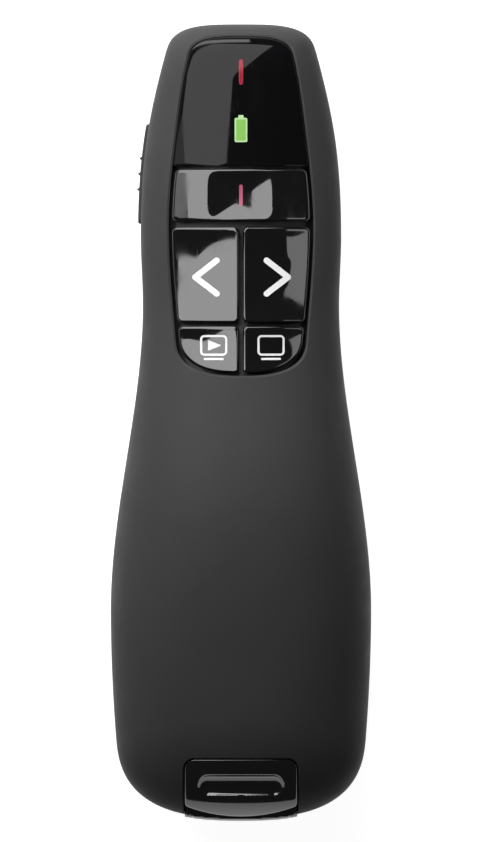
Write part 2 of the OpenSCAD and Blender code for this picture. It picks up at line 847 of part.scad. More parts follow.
// Sheet at a depth under the panel, clear of the case's wall and of the circuit board
module panel_sheet(reach, low_y, high_y, depth, thickness, cells) {
    under_wall = function (x, y) seam_z - 0.25
        + rise(y, wall) * bow(x, half_width(y, wall), crown_power);
    top = function (x, y) min(crown_z(x, y) - depth, under_wall(x, y));
    low = function (x, y) max(top(x, y) - thickness, board_top + 0.3);
    places = [for (u = even_rows(0, 90, cells[1])) low_y + (high_y - low_y) * (1 - cos(u))];
    loft([for (y = places) let (half = panel_half(y, -reach)) concat(
        [for (x = even_rows(half, -half, cells[0])) [x, y, top(x, y)]],
        [for (x = even_rows(-half, half, cells[0])) [x, y, low(x, y)]])]);
}

module key_frame() {
    rail_w = 1.2;
    rail_low = window_low_y + 0.2;
    color(inner_grey)
    difference() {
        union() {
            panel_sheet(frame_reach, panel_low_y - frame_reach, panel_high_y - 3.4,
                        frame_top, frame_thickness, [12, 16]);
            // rails that the window sits on
            both_sides()
                loft([for (y = even_rows(rail_low, panel_high_y - 4, 6))
                    let (far = panel_half(y, 0.4), near = far - rail_w)
                    [[far, y, crown_z(far, y) - window_thickness - 0.02],
                     [near, y, crown_z(near, y) - window_thickness - 0.02],
                     [near, y, crown_z(near, y) - frame_top - frame_thickness / 2],
                     [far, y, crown_z(far, y) - frame_top - frame_thickness / 2]]]);
            crown_block([-panel_w / 2 + 1.5, rail_low], [panel_w / 2 - 1.5, rail_low + rail_w],
                        window_thickness + 0.02, frame_top + frame_thickness / 2, [10, 1]);
        }
        for (place = key_places)
            upright(place, stem_r + 0.2, seam_z, grip_depth);
        both_sides()
            upright(front_screw, boss_r, seam_z, grip_depth);
        linear_extrude(grip_depth) {
            laser_light_outline(fit);
            battery_light_outline(fit);
        }
    }
}

// Key cap with its stem: low and high are the corners of its part of the panel
module key(low, high, place) {
    intersection() {
        crown_block([max(low[0], -panel_w / 2), low[1] - 0.1],
                    [min(high[0], panel_w / 2), high[1] + 0.1],
                    -key_proud, key_thickness - key_proud, [8, 7]);
        linear_extrude(grip_depth + overlap)
            panel_part(key_side_gap, low, high);
    }
    upright(place, stem_r, plunger_top,
            crown_z(place[0], place[1]) + key_proud - key_thickness / 2);
}

// Ball that presses a shallow dish into a key
module dish(place, r, depth) {
    translate([place[0], place[1], crown_z(place[0], place[1]) + key_proud - depth + r])
        sphere(r = r, $fn = 180);
}

// Well with sloping sides that the thumb finds in the middle of the laser key
module laser_well() {
    size = [9.2, 6.8];
    corner_r = 1.6;
    depth = 0.5;
    slope = 0.5;
    quarter = 4;
    top_z = crown_z(laser_key_xy[0], laser_key_xy[1]) + key_proud;
    corner_ring = function (inset, z) [for (k = [0:3], i = [0:quarter]) let (
        side = [k == 0 || k == 3 ? 1 : -1, k < 2 ? 1 : -1],
        a = 90 * k + 90 * i / quarter,
        r = corner_r - inset)
        [laser_key_xy[0] + side[0] * (size[0] / 2 - corner_r) + r * cos(a),
         laser_key_xy[1] + side[1] * (size[1] / 2 - corner_r) + r * sin(a), z]];
    loft([corner_ring(0, top_z + overlap), corner_ring(0, top_z),
          corner_ring(slope / 2, top_z - 0.8 * depth), corner_ring(slope, top_z - depth)]);
}

module laser_button() {
    color(gloss_black)
    difference() {
        key([-panel_w, laser_key_low_y], [panel_w, laser_key_high_y], laser_key_xy);
        laser_well();
    }
}

module previous_button() {
    color(gloss_black)
    difference() {
        key([-panel_w, arrow_key_low_y], [-key_middle_gap / 2, arrow_key_high_y], key_places[1]);
        dish(key_places[1], 45, 0.5);
    }
}

module next_button() {
    color(gloss_black)
    difference() {
        key([key_middle_gap / 2, arrow_key_low_y], [panel_w, arrow_key_high_y], key_places[2]);
        dish(key_places[2], 45, 0.5);
    }
}

module start_button() {
    color(gloss_black)
    difference() {
        key([-panel_w, panel_low_y], [-key_middle_gap / 2, small_key_high_y], key_places[3]);
        dish(key_places[3], 30, 0.2);
    }
}

module blank_button() {
    color(gloss_black)
    difference() {
        key([key_middle_gap / 2, panel_low_y], [panel_w, small_key_high_y], key_places[4]);
        dish(key_places[4], 30, 0.2);
    }
}

// Plunger of one tactile switch, which moves with its key
module plunger(place) {
    color([0.85, 0.84, 0.8])
        upright(place, plunger_r, switch_top - plunger_seat, plunger_top);
}

module laser_plunger() {
    plunger(key_places[0]);
}

module previous_plunger() {
    plunger(key_places[1]);
}

module next_plunger() {
    plunger(key_places[2]);
}

module start_plunger() {
    plunger(key_places[3]);
}

module blank_plunger() {
    plunger(key_places[4]);
}

module tact_switches() {
    leg = [0.5, 0.7, 0.3];
    color(steel)
    for (place = key_places)
        difference() {
            union() {
                translate([place[0] - switch_w / 2, place[1] - switch_w / 2, board_top])
                    cube([switch_w, switch_w, switch_h]);
                for (side = [-1, 1], end = [-1, 1])
                    translate([place[0] + side * switch_w * 0.36 - leg[1] / 2,
                               place[1] + end * (switch_w / 2 + leg[0] / 2) - leg[0] / 2, board_top])
                        cube([leg[1], leg[0], leg[2]]);
            }
            upright(place, plunger_r + slip, switch_top - plunger_seat - key_travel - 0.1,
                    switch_top + overlap);
        }
}

// ---------------------------------------------------------------- electronics

module circuit_board() {
    places = even_rows(board_low_y, board_high_y, 16);
    half = function (y) min(board_w / 2, half_width(y) - wall - 0.8);
    color(board_green)
    difference() {
        translate([0, 0, board_z])
            linear_extrude(board_t)
                polygon(concat(
                    [for (y = places) [half(y), y]],
                    [for (i = [len(places) - 1:-1:0]) [-half(places[i]), places[i]]]));
        for (place = board_screw_places)
            upright(place, screw_r + fit, board_z - overlap, board_top + overlap);
        both_sides() {
            upright(front_screw, boss_r, board_z - overlap, board_top + overlap);
            // slots for the battery contacts
            box([cell_x - contact_tab / 2 - fit, contact_slot_y[0], board_z - overlap],
                [cell_x + contact_tab / 2 + fit, contact_slot_y[1], board_top + overlap]);
        }
    }
}

// Small LED body with a domed lens
module status_led(y) {
    translate([-led_size[0] / 2, y - led_size[1] / 2, board_top])
        cube([led_size[0], led_size[1], led_size[2] - 0.4]);
    translate([-led_size[0] / 2 + 0.2, y - led_size[1] / 2 + 0.4, board_top])
        cube([led_size[0] - 0.4, led_size[1] - 0.8, led_size[2]]);
}

module laser_status_led() {
    color([0.9, 0.85, 0.8])
        status_led(laser_light_y);
}

module battery_status_led() {
    color([0.9, 0.85, 0.8])
        status_led(battery_light_y);
}

module microcontroller() {
    size = [6, 6, 0.9];
    color(gloss_black)
    difference() {
        translate([-size[0] / 2, board_low_y + 5, board_top])
            cube(size);
        translate([-size[0] / 2 + 1, board_low_y + 6, board_top + size[2] - 0.1])
            cylinder(r = 0.4, h = 1, $fn = 24);
    }
}

module crystal() {
    color(steel)
    translate([5.2, board_low_y + 4.6, board_top]) {
        translate([-1.6, -1.25, 0])
            cube([3.2, 2.5, 0.3]);
        translate([-1.4, -1.05, 0])
            cube([2.8, 2.1, 0.8]);
    }
}

module power_inductor() {
    color([0.2, 0.2, 0.22])
    translate([-9.4, board_low_y + 5.3, board_top]) {
        translate([-2, -2, 0])
            cube([4, 4, 0.5]);
        cylinder(r = 1.9, h = 2, $fn = 32);
    }
}

module chip_components() {
    size = [1.6, 0.8, 0.6];
    color([0.6, 0.5, 0.4])
    for (i = [0:3], side = [-1, 1])
        translate([side * (4.2 + 1.9 * (i % 2)) - size[0] / 2,
                   board_low_y + 1 + 1.4 * floor(i / 2), board_top])
            cube(size);
}

module slide_switch() {
    slot = slider_travel / 2 + lever_half + fit;
    color(steel)
    slider_frame()
        difference() {
            box([slide_switch_x[0], -slide_switch_half, board_z - slide_switch_h],
                [slide_switch_x[1], slide_switch_half, board_z]);
            box([slide_switch_x[0] - overlap, -slot, lever_z[0] - fit],
                [slide_switch_x[0] + lever_reach + 0.2, slot, lever_z[1] + fit]);
        }
}

module slide_switch_lever() {
    color([0.85, 0.84, 0.8])
    slider_frame()
        box([slider_fork[0], -lever_half, lever_z[0]],
            [slide_switch_x[0] + lever_reach, lever_half, lever_z[1]]);
}

// Pointed rib that stands on the slider cap and follows the side of the case
module grip_rib(place) {
    half = half_width(slider_y);
    loft([for (z = even_rows(slider_low_z + slider_h - 0.4, slider_low_z + 0.5, 6)) let (
        share = (seam_z - z) / fall(slider_y),
        face = half - half * bow(share, 1, belly_power) - slider_proud)
        [[face - grip_rib_h, place, z],
         [face + slider_proud, place - grip_rib_w, z],
         [face + slider_proud, place + grip_rib_w, z]]]);
}

module power_slider() {
    color(soft_black) {
        side_layer(-slider_proud, slider_cap_inset, slider_length / 2,
                   slider_low_z, slider_low_z + slider_h, 8);
        slider_frame() {
            for (i = [-1:1])
                grip_rib(i * grip_rib_pitch);
            box([0.35, -slider_stem[0], slider_stem[1]],
                [slider_fork[1], slider_stem[0], slider_stem[2]]);
            for (side = [-1, 1])
                box([slider_fork[0], min(side * (lever_half + slip), side * slider_stem[0]),
                     slider_stem[1]],
                    [slider_fork[1], max(side * (lever_half + slip), side * slider_stem[0]),
                     lever_z[1]]);
        }
    }
}

module laser_module() {
    color(brass)
    translate([0, laser_back_y, laser_z])
        rotate([-90, 0, 0])
            difference() {
                union() {
                    cylinder(r = laser_r, h = laser_length, $fn = 48);
                    // rear step that holds the diode
                    translate([0, 0, -0.6])
                        cylinder(r = laser_r - 0.6, h = 1, $fn = 48);
                }
                translate([0, 0, laser_length - 1])
                    cylinder(r = laser_r - 0.7, h = 2, $fn = 48);
            }
}

module laser_lens() {
    color([0.6, 0.1, 0.12])
    translate([0, lens_y, laser_z])
        rotate([-90, 0, 0])
            cylinder(r = aperture_r - slip, h = lens_t, $fn = 32);
}

module laser_leads() {
    r = 0.3;
    back = laser_back_y - 0.6;
    color(steel)
    for (side = [-1, 1])
        translate([side * 0.9, 0, 0]) {
            translate([0, back - 1.4, laser_z])
                rotate([-90, 0, 0])
                    cylinder(r = r, h = 1.4, $fn = 16);
            translate([0, back - 1.4, laser_z])
                sphere(r = r, $fn = 16);
            translate([0, back - 1.4, laser_z])
                cylinder(r = r, h = board_z - laser_z, $fn = 16);
        }
}

// ---------------------------------------------------------------- batteries

// Cell that lies along Y from its flat end, with its nub at the far end
module cell(x, flat_y, turned) {
    translate([x, turned ? flat_y + cell_length : flat_y, cell_z])
        rotate([turned ? 90 : -90, 0, 0])
            union() {
                cylinder(r = cell_r, h = cell_length - cell_nub[1], $fn = 48);
                cylinder(r = cell_nub[0], h = cell_length, $fn = 32);
            }
}

module battery_left() {
    color([0.75, 0.6, 0.35])
        cell(-cell_x, left_cell_y, false);
}

module battery_right() {
    color([0.75, 0.6, 0.35])
        cell(cell_x, right_cell_y, true);
}

module battery_tub() {
    outer = tub_x + tub_wall;
    divider = 1;
    chamfer = tub_end_wall + 0.3;   // the case narrows towards the neck
    low_y = bay_tail_y - tub_end_wall;
    high_y = bay_head_y + tub_end_wall;
    color(inner_grey)
    difference() {
        translate([0, 0, tub_low_z])
            linear_extrude(tub_top_z - tub_low_z)
                polygon([[-outer, low_y], [outer, low_y], [outer, high_y - chamfer],
                         [outer - chamfer, high_y], [-outer + chamfer, high_y],
                         [-outer, high_y - chamfer]]);
        difference() {
            box([-tub_x, bay_tail_y, tub_low_z - overlap], [tub_x, bay_head_y, tub_roof_z]);
            box([-divider, bay_tail_y - overlap, tub_roof_z - 1.5],
                [divider, bay_head_y + overlap, tub_roof_z + overlap]);
        }
        // slots for the contact tabs
        both_sides()
            box([cell_x - contact_tab / 2 - fit, bay_head_y - contact_t - fit, cell_z],
                [cell_x + contact_tab / 2 + fit, bay_head_y, tub_top_z + overlap]);
    }
}

// Conical wire spring along Y that starts wide at a contact plate
module contact_spring(x, y, turned) {
    wire_r = 0.28;
    base_r = 3.6;
    tip_r = 2.2;
    turns = 3;
    steps = 14 * turns;
    sides = 6;
    rise_length = spring_length - 2 * wire_r;
    translate([x, y, cell_z])
        rotate([turned ? 90 : -90, 0, 0])
            loft([for (i = [0:steps])
                let (a = -360 * turns * i / steps,
                     r = base_r + (tip_r - base_r) * i / steps,
                     h = wire_r + rise_length * i / steps)
                [for (k = [0:sides - 1]) let (b = 360 * k / sides, s = r + wire_r * cos(b))
                    [s * cos(a), s * sin(a), h + wire_r * sin(b)]]]);
}

module tail_spring() {
    color(steel)
        contact_spring(-cell_x, bay_tail_y + contact_t, false);
}

module head_spring() {
    color(steel)
        contact_spring(cell_x, bay_head_y - contact_t, true);
}

// Bump that meets the nub of a cell
module contact_button(x, y) {
    translate([x, y, cell_z])
        rotate([-90, 0, 0])
            cylinder(r = 1.8, h = contact_bump, $fn = 32);
}

module tail_contact() {
    color(steel) {
        box([-cell_x - 4, bay_tail_y, cell_z - 1.9], [cell_x + 4, bay_tail_y + contact_t, cell_z + 3.4]);
        contact_button(cell_x, bay_tail_y + contact_t);
    }
}

// Contact plate at the head of the bay, with its tab up to the circuit board
module head_plate(x) {
    box([x - 4, bay_head_y - contact_t, cell_z - 1.9], [x + 4, bay_head_y, cell_z + 3.4]);
    box([x - contact_tab / 2, bay_head_y - contact_t, cell_z], [x + contact_tab / 2, bay_head_y, board_top]);
}

module positive_contact() {
    color(steel) {
        head_plate(-cell_x);
        contact_button(-cell_x, bay_head_y - contact_t - contact_bump);
    }
}

module negative_contact() {
    color(steel)
        head_plate(cell_x);
}

// ---------------------------------------------------------------- receiver

// Rounded bar along Y with a rounded rectangle for its section
module rounded_bar(w, h, r, low_y, high_y, mid_z) {
    translate([0, high_y, mid_z])
        rotate([90, 0, 0])
            linear_extrude(high_y - low_y) {
                square([w - 2 * r, h], center = true);
                square([w, h - 2 * r], center = true);
                for (side = [-1, 1], level = [-1, 1])
                    translate([side * (w / 2 - r), level * (h / 2 - r)])
                        circle(r = r, $fn = 24);
            }
}

module receiver_dock() {
    inner_half = dock_half - dock_wall;
    floor_half = dock_half - 2 * fit;
    roof = receiver_z + stick_h + dock_gap;
    color(inner_grey)
    difference() {
        union() {
            box([-dock_half, dock_tail_y, dock_low_z], [dock_half, dock_head_y, roof + dock_roof]);
            box([-floor_half, tail_y + wall + 1.3, dock_low_z], [floor_half, dock_tail_y, notch_z]);
        }
        box([-inner_half, dock_tail_y - overlap, notch_z],
            [inner_half, dock_head_y - dock_wall, roof]);
    }
}

// Cap that carries on the crown of the case and stands a little past the tail
module receiver_cap() {
    places = [for (y = case_rows(0, 9, 20)) if (y < notch_y + 2) y];
    stretch = (-head_y - notch_y) / (tail_y - notch_y);
    scoop_r = 1.9;
    scoop_y = notch_y - 3.85;
    scoop_half = 6.4;
    step_r = 22;                        // the end's upper face is bowed
    step_y = 0.8 - head_y;
    step_z = receiver_z + 1.3;
    difference() {
        intersection() {
            loft([for (y = places)
                [for (p = upper_ring(y, 0, 0, 18))
                    [p[0], y < notch_y ? notch_y + (y - notch_y) * stretch : y, p[2]]]]);
            translate([0, 0, receiver_z])
                linear_extrude(grip_depth)
                    notch_outline(notch_gap);
        }
        // step above the lower lip of the end
        difference() {
            box([-cap_w, -head_y - overlap, step_z], [cap_w, notch_y - 2, grip_depth]);
            upright([0, step_y + step_r], step_r, step_z - overlap, grip_depth + overlap, 180);
        }
        translate([0, scoop_y, crown_z(0, scoop_y) + scoop_r - 1])
            rotate([0, 90, 0]) {
                cylinder(r = scoop_r, h = 2 * (scoop_half - scoop_r), center = true, $fn = 32);
                for (side = [-1, 1])
                    translate([0, 0, side * (scoop_half - scoop_r)])
                        sphere(r = scoop_r, $fn = 32);
            }
    }
}

module receiver_housing() {
    low = notch_y - 2;
    inner = [stick_w - 2 * stick_wall, stick_h - 2 * stick_wall];
    color(gloss_black)
    difference() {
        union() {
            receiver_cap();
            rounded_bar(stick_w, stick_h, 1, low, stick_end_y, usb_z);
        }
        rounded_bar(inner[0], inner[1], 0.4, low + 3, stick_end_y - stick_wall, usb_z);
        box([-usb[0] / 2 - slip, stick_end_y - 2, usb_z - usb[2] / 2 - slip],
            [usb[0] / 2 + slip, stick_end_y + overlap, usb_z + usb[2] / 2 + slip]);
    }
}

module usb_plug_shell() {
    tip = stick_end_y + usb[1];
    hole = 2.2;
    color(steel)
    difference() {
        box([-usb[0] / 2, usb_root_y, usb_z - usb[2] / 2], [usb[0] / 2, tip, usb_z + usb[2] / 2]);
        box([-usb[0] / 2 + usb_wall, usb_root_y - overlap, usb_z - usb[2] / 2 + usb_wall],
            [usb[0] / 2 - usb_wall, tip + overlap, usb_z + usb[2] / 2 - usb_wall]);
        for (side = [-1, 1])
            box([side * 2.9 - hole / 2, tip - 6.5, usb_z - usb[2]],
                [side * 2.9 + hole / 2, tip - 6.5 + hole, usb_z + usb[2]]);
    }
}

module usb_plug_tongue() {
    low = usb_z - usb[2] / 2 + usb_wall;
    color([0.92, 0.92, 0.9])
        box([-usb[0] / 2 + usb_wall + slip, usb_root_y + 0.2, low],
            [usb[0] / 2 - usb_wall - slip, stick_end_y + usb[1] - 0.4, low + usb_tongue_h]);
}

module usb_contacts() {
    low = usb_z - usb[2] / 2 + usb_wall + usb_tongue_h;
    tip = stick_end_y + usb[1] - 1.2;
    color(brass)
    for (i = [0:3])
        translate([(i - 1.5) * 2.3, 0, 0])
            box([-0.5, tip - (i == 0 || i == 3 ? 8 : 7), low], [0.5, tip, low + 0.15]);
}

module receiver_board() {
    low = usb_z - 0.4;
    tail = notch_y + 1.6;
    color(board_green)
        box([-5.8, tail, low], [5.8, usb_root_y - 0.1, low + 0.8]);
    color(gloss_black)
        box([-2.5, tail + 4, low + 0.8], [2.5, tail + 9, low + 1.7]);
}

// ---------------------------------------------------------------- fasteners

// Pan head screw that points up from the underside of its head
module screw(place, head_z, length) {
    difference() {
        union() {
            upright(place, screw_head_r, head_z, head_z + screw_head_h);
            upright(place, screw_r, head_z, head_z + screw_head_h + length);
        }
        // cross recess
        for (turn = [0, 90])
            translate([place[0], place[1], head_z])
                rotate([0, 0, turn])
                    cube([2 * screw_head_r * 0.55, 0.4, 1.2], center = true);
    }
}

module case_screws() {
    color(steel)
    both_sides()
        for (place = [front_screw, tail_screw])
            screw(place, place[2] + head_recess - screw_head_h, place[3]);
}

module board_screws() {
    color(steel)
    for (place = board_screw_places)
        translate([0, 0, board_top + screw_head_h])
            mirror([0, 0, 1])
                screw(place, 0, board_screw_length - 0.2);
}

top_shell();
rear_shell();
battery_door();
display_window();
laser_light_guide();
battery_light_guide();
key_frame();
laser_button();
previous_button();
next_button();
start_button();
blank_button();
laser_plunger();
previous_plunger();
next_plunger();
start_plunger();
blank_plunger();
tact_switches();
circuit_board();
laser_status_led();
battery_status_led();
microcontroller();
crystal();
power_inductor();
chip_components();
slide_switch();
slide_switch_lever();
power_slider();
laser_module();
laser_lens();
laser_leads();
battery_left();
battery_right();
battery_tub();
tail_spring();
head_spring();
tail_contact();
positive_contact();
negative_contact();
receiver_dock();
receiver_housing();
receiver_board();
usb_plug_shell();
usb_plug_tongue();
usb_contacts();
case_screws();
board_screws();
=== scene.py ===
# %% [markdown]
# # A wireless presentation clicker
#
# A slim hand-held clicker: a waisted case with a soft-touch coat, a glossy panel of keys under a
# display window, a power slider on the left side and a glossy receiver stowed in the tail. The
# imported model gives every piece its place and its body. This lesson builds smooth versions of
# what shows, then gives each piece, old and new, a finish made of nodes.

# %% Load the frame
import math

import bmesh
import bpy
from mathutils import Matrix, Vector


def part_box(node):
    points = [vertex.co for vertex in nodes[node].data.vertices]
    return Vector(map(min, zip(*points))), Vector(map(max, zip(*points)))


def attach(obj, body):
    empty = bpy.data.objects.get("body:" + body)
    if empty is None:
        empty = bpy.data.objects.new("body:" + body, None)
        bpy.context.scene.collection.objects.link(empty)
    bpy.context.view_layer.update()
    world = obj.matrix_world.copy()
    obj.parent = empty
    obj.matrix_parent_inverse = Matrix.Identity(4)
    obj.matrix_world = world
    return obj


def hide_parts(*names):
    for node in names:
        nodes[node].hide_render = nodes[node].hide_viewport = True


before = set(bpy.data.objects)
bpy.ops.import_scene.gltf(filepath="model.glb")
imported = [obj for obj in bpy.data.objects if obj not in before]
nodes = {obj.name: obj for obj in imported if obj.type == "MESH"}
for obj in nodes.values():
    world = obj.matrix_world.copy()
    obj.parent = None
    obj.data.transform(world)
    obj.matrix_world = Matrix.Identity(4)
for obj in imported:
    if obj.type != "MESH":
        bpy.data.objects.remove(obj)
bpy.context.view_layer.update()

# %% [markdown]
# ## The form of the case
#
# The case is one smooth form in both directions. Along it, three curves give the half width, the
# height of the crown above the seam and the depth of the belly below it; across it, every
# section is a superellipse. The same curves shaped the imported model, so its ends and its widest
# place come from the frame and the rest is placed from them. Everything is worked out in
# millimetres and made metres at the very end.

# %% Driving sizes
MM = 0.001
shell_low, shell_high = (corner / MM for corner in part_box("top_shell"))
tail_y, head_y = shell_low.y, shell_high.y
grip_half, crown_top = shell_high.x, shell_high.z
end_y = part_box("receiver_housing")[0].y / MM
seam_z = 13.0
wall = 1.6
flat_cut = 1.0
print(f"case from {tail_y:.2f} to {head_y:.2f} mm, {2 * grip_half:.2f} mm wide and "
      f"{crown_top:.2f} mm deep")

# %% Curves along the case, each [place, value, slope]
neck_y = head_y - 40.75
shoulder_y = head_y - 30.75
brow_y = head_y - 13.85
saddle_y = head_y - 33.75
saddle_fall = seam_z - 3.4
PLAN = (
    (tail_y, 17.0, 0.11),
    (tail_y + 30.2, grip_half, 0.0),
    (neck_y, 14.22, 0.0),
    (shoulder_y, 14.52, 0.0),
    (brow_y, 13.2, -0.185),
    (head_y, 9.75, -0.29),
)
CROWN = (
    (tail_y, 9.395, 0.12),
    (tail_y + 17.2, 12.195, 0.14),
    (tail_y + 42.0, crown_top - seam_z, 0.0),
    (neck_y, 9.5, -0.1),
    (brow_y, 8.3, -0.03),
    (head_y, 7.9, -0.02),
)
BELLY = (
    (tail_y, seam_z - 2.0, 0.1),
    (tail_y + 13.0, seam_z + flat_cut, 0.01),
    (tail_y + 57.2, seam_z + flat_cut, -0.03),
    (saddle_y, saddle_fall, -0.05),
    (head_y - 5.75, saddle_fall, 0.0),
    (head_y, saddle_fall - 0.2, 0.0),
)
PLAN_ROUNDS = ((12.0, 2.8), (4.5, 3.5))     # length and power of the rounding at tail and head
SIDES = {1: (CROWN, ((14.0, 2.2), (8.0, 2.4))), -1: (BELLY, ((11.0, 2.3), (7.0, 2.4)))}
POWERS = {1: 2.35, -1: 2.5}                 # of the superellipse above and below the seam


def mix(a, b, share):
    return a + (b - a) * share


def curve(points, y):
    """Value at y of the smooth curve through points of (place, value, slope)."""
    k = max([i for i in range(len(points) - 1) if y >= points[i][0]], default=0)
    (y0, a, slope_a), (y1, b, slope_b) = points[k], points[k + 1]
    h = y1 - y0
    t = (y - y0) / h
    return ((2 * t**3 - 3 * t**2 + 1) * a + (t**3 - 2 * t**2 + t) * h * slope_a
            + (3 * t**2 - 2 * t**3) * b + (t**3 - t**2) * h * slope_b)


def rounding(distance, length, power):
    """Share of the full size at a distance from an end that rounds off."""
    u = min(1.0, max(0.0, 1 - distance / length))
    return (1 - u**power) ** (1 / power)


def rounded_curve(points, rounds, y, inset):
    """Value of a curve at an inset, rounded off towards both of its ends."""
    low, high = points[0][0], points[-1][0]
    return ((curve(points, y) - inset)
            * rounding(max(0.0, y - low - inset), *rounds[0])
            * rounding(max(0.0, high - inset - y), *rounds[1]))


def half_width(y, inset=0.0):
    return rounded_curve(PLAN, PLAN_ROUNDS, y, inset)


def height(side, y, inset=0.0):
    """Height of the crown above the seam (side 1) or depth of the belly below it (side -1)."""
    return rounded_curve(*SIDES[side], y, inset)


def bow(share, power):
    """Height that a superellipse keeps at a share of its half width."""
    return max(0.0, 1 - min(1.0, abs(share)) ** power) ** (1 / power)


def bent(value, power):
    return math.copysign(abs(value) ** (2 / power), value)


def crown_z(x, y):
    return seam_z + height(1, y) * bow(x / max(1e-6, half_width(y)), POWERS[1])


print(f"neck {2 * half_width(neck_y):.2f} mm, shoulder {2 * half_width(shoulder_y):.2f} mm")

# %% [markdown]
# ## Grids that wrap
#
# A smooth shell could be sculpted, subdivided or lofted. Here each one starts as a flat grid from
# `create_grid`, and every corner of the grid is moved to its place on the form. Corners that land
# on the same spot are merged, so a grid whose two edges meet becomes a closed tube, and a row
# that shrinks to a point closes it like a pole. The quads stay even, so highlights run smoothly.

# %% The grid helper and its way to a finished piece
def wrapped_grid(columns, rows, place):
    """A closed form from a flat grid: its corner (column, row) goes to place(column, row)."""
    form = bmesh.new()
    bmesh.ops.create_grid(form, x_segments=columns, y_segments=rows, size=0.5)
    for vertex in form.verts:
        column = round((vertex.co.x + 0.5) * columns)
        row = round((vertex.co.y + 0.5) * rows)
        vertex.co = place(column, row)
    bmesh.ops.remove_doubles(form, verts=form.verts, dist=1e-4)
    bmesh.ops.dissolve_degenerate(form, dist=1e-5, edges=form.edges)
    bmesh.ops.recalc_face_normals(form, faces=form.faces)
    return form


def as_object(name, form):
    mesh = bpy.data.meshes.new(name)
    form.to_mesh(mesh)
    form.free()
    piece = bpy.data.objects.new(name, mesh)
    bpy.context.scene.collection.objects.link(piece)
    return piece


def carve(form, *tools, operation="DIFFERENCE"):
    """The form with each tool cut away, kept in common or added."""
    body = as_object("carve_body", form)
    cutters = [as_object("carve_tool", tool) for tool in tools]
    for cutter in cutters:
        step = body.modifiers.new("carve", "BOOLEAN")
        step.solver = "MANIFOLD"
        step.operation = operation
        step.object = cutter
    graph = bpy.context.evaluated_depsgraph_get()
    result = bmesh.new()
    result.from_mesh(body.evaluated_get(graph).to_mesh())
    for leftover in (body, *cutters):
        mesh = leftover.data
        bpy.data.objects.remove(leftover)
        bpy.data.meshes.remove(mesh)
    return result


def joined(*forms):
    return carve(*forms, operation="UNION")


def common(*forms):
    return carve(*forms, operation="INTERSECT")


def finish_piece(name, form, body, stands_for, sharp=32.0):
    """A piece in metres at its place, smooth but for its sharp edges, riding on its body."""
    bmesh.ops.remove_doubles(form, verts=form.verts, dist=1e-4)
    bmesh.ops.dissolve_degenerate(form, dist=1e-5, edges=form.edges)
    bmesh.ops.scale(form, vec=(MM, MM, MM), verts=form.verts)
    for face in form.faces:
        face.smooth = True
    for edge in form.edges:
        edge.smooth = len(edge.link_faces) == 2 and edge.calc_face_angle() < math.radians(sharp)
    piece = as_object(name, form)
    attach(piece, body)
    if stands_for:
        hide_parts(*stands_for)
    faces = sum(len(face.vertices) - 2 for face in piece.data.polygons)
    print(f"{name}: {faces} triangles on {body}")
    return piece


# %% [markdown]
# ## The two halves of the case
#
# The case is moulded in two shells that meet at a seam round its side. One grid makes a whole
# shell: it runs over the outer face, across the thin rim at the seam, back over the inner face
# and across the other rim. The outer edge of the rim is rounded a little, which leaves the fine
# shadow line that shows where two mouldings meet. Rows crowd together towards both ends, where
# the form closes. The belly is eased into the flat that the clicker lies on.

# %% A hollow half of the case
ROWS = 180
OUTER_STEPS = 80
EDGE_STEPS = 4
INNER_STEPS = 28
seam_edge = 0.18


def row_y(row, inset, rows=ROWS):
    return mix(tail_y + inset, head_y - inset, (1 - math.cos(math.pi * row / rows)) / 2)


def eased_floor(z, floor_z, ease=0.2):
    """z above a floor, with the crease between them eased."""
    rise = z - floor_z
    return floor_z + (rise + math.hypot(rise, ease)) / 2


def case_point(side, angle, y, inset):
    power = POWERS[side]
    x = half_width(y, inset) * bent(math.cos(angle), power)
    z = seam_z + side * height(side, y, inset) * abs(bent(math.sin(angle), power))
    if side < 0:
        z = eased_floor(z, inset)
    return Vector((x, y, z))


def outer_point(side, step, row):
    """Point of the outer face: the first and last steps round the edge at the seam."""
    power = POWERS[side]
    tall = max(1e-9, height(side, row_y(row, 0)))

    def angle_at(climb):
        return math.asin(min(1.0, climb / tall) ** (power / 2))

    from_edge = min(step, OUTER_STEPS - step)
    if from_edge < EDGE_STEPS:
        climb = min(tall, seam_edge * (1 - math.cos(math.pi / 2 * from_edge / EDGE_STEPS)))
        angle = angle_at(climb) if step < OUTER_STEPS / 2 else math.pi - angle_at(climb)
    else:
        share = (step - EDGE_STEPS) / (OUTER_STEPS - 2 * EDGE_STEPS)
        angle = mix(angle_at(seam_edge), math.pi - angle_at(seam_edge), share)
        climb = tall * abs(bent(math.sin(angle), power))
    short = max(0.0, seam_edge - climb)
    inset = seam_edge - math.sqrt(max(0.0, seam_edge**2 - short**2))
    point = case_point(side, angle, row_y(row, inset), 0)
    point.x = half_width(row_y(row, inset), inset) * bent(math.cos(angle), power)
    point.z = seam_z + side * climb
    if side < 0:
        point.z = eased_floor(point.z, 0)
    return point


def case_half(side):
    columns = OUTER_STEPS + INNER_STEPS + 2

    def place(column, row):
        column %= columns
        if column <= OUTER_STEPS:
            return outer_point(side, column, row)
        angle = math.pi * (1 - (column - OUTER_STEPS - 1) / INNER_STEPS)
        return case_point(side, angle, row_y(row, wall), wall)

    return wrapped_grid(columns, ROWS, place)


def case_core(side, inset, past_seam=0.0, rows=90, steps=32):
    """Solid inside the case at an inset, closed just past the seam."""
    columns = steps + 2

    def place(column, row):
        column %= columns
        y = row_y(row, inset, rows)
        if column <= steps:
            return case_point(side, math.pi * column / steps, y, inset)
        x = half_width(y, inset) * (-1 if column == steps + 1 else 1)
        return Vector((x, y, seam_z - side * past_seam))

    return wrapped_grid(columns, rows, place)


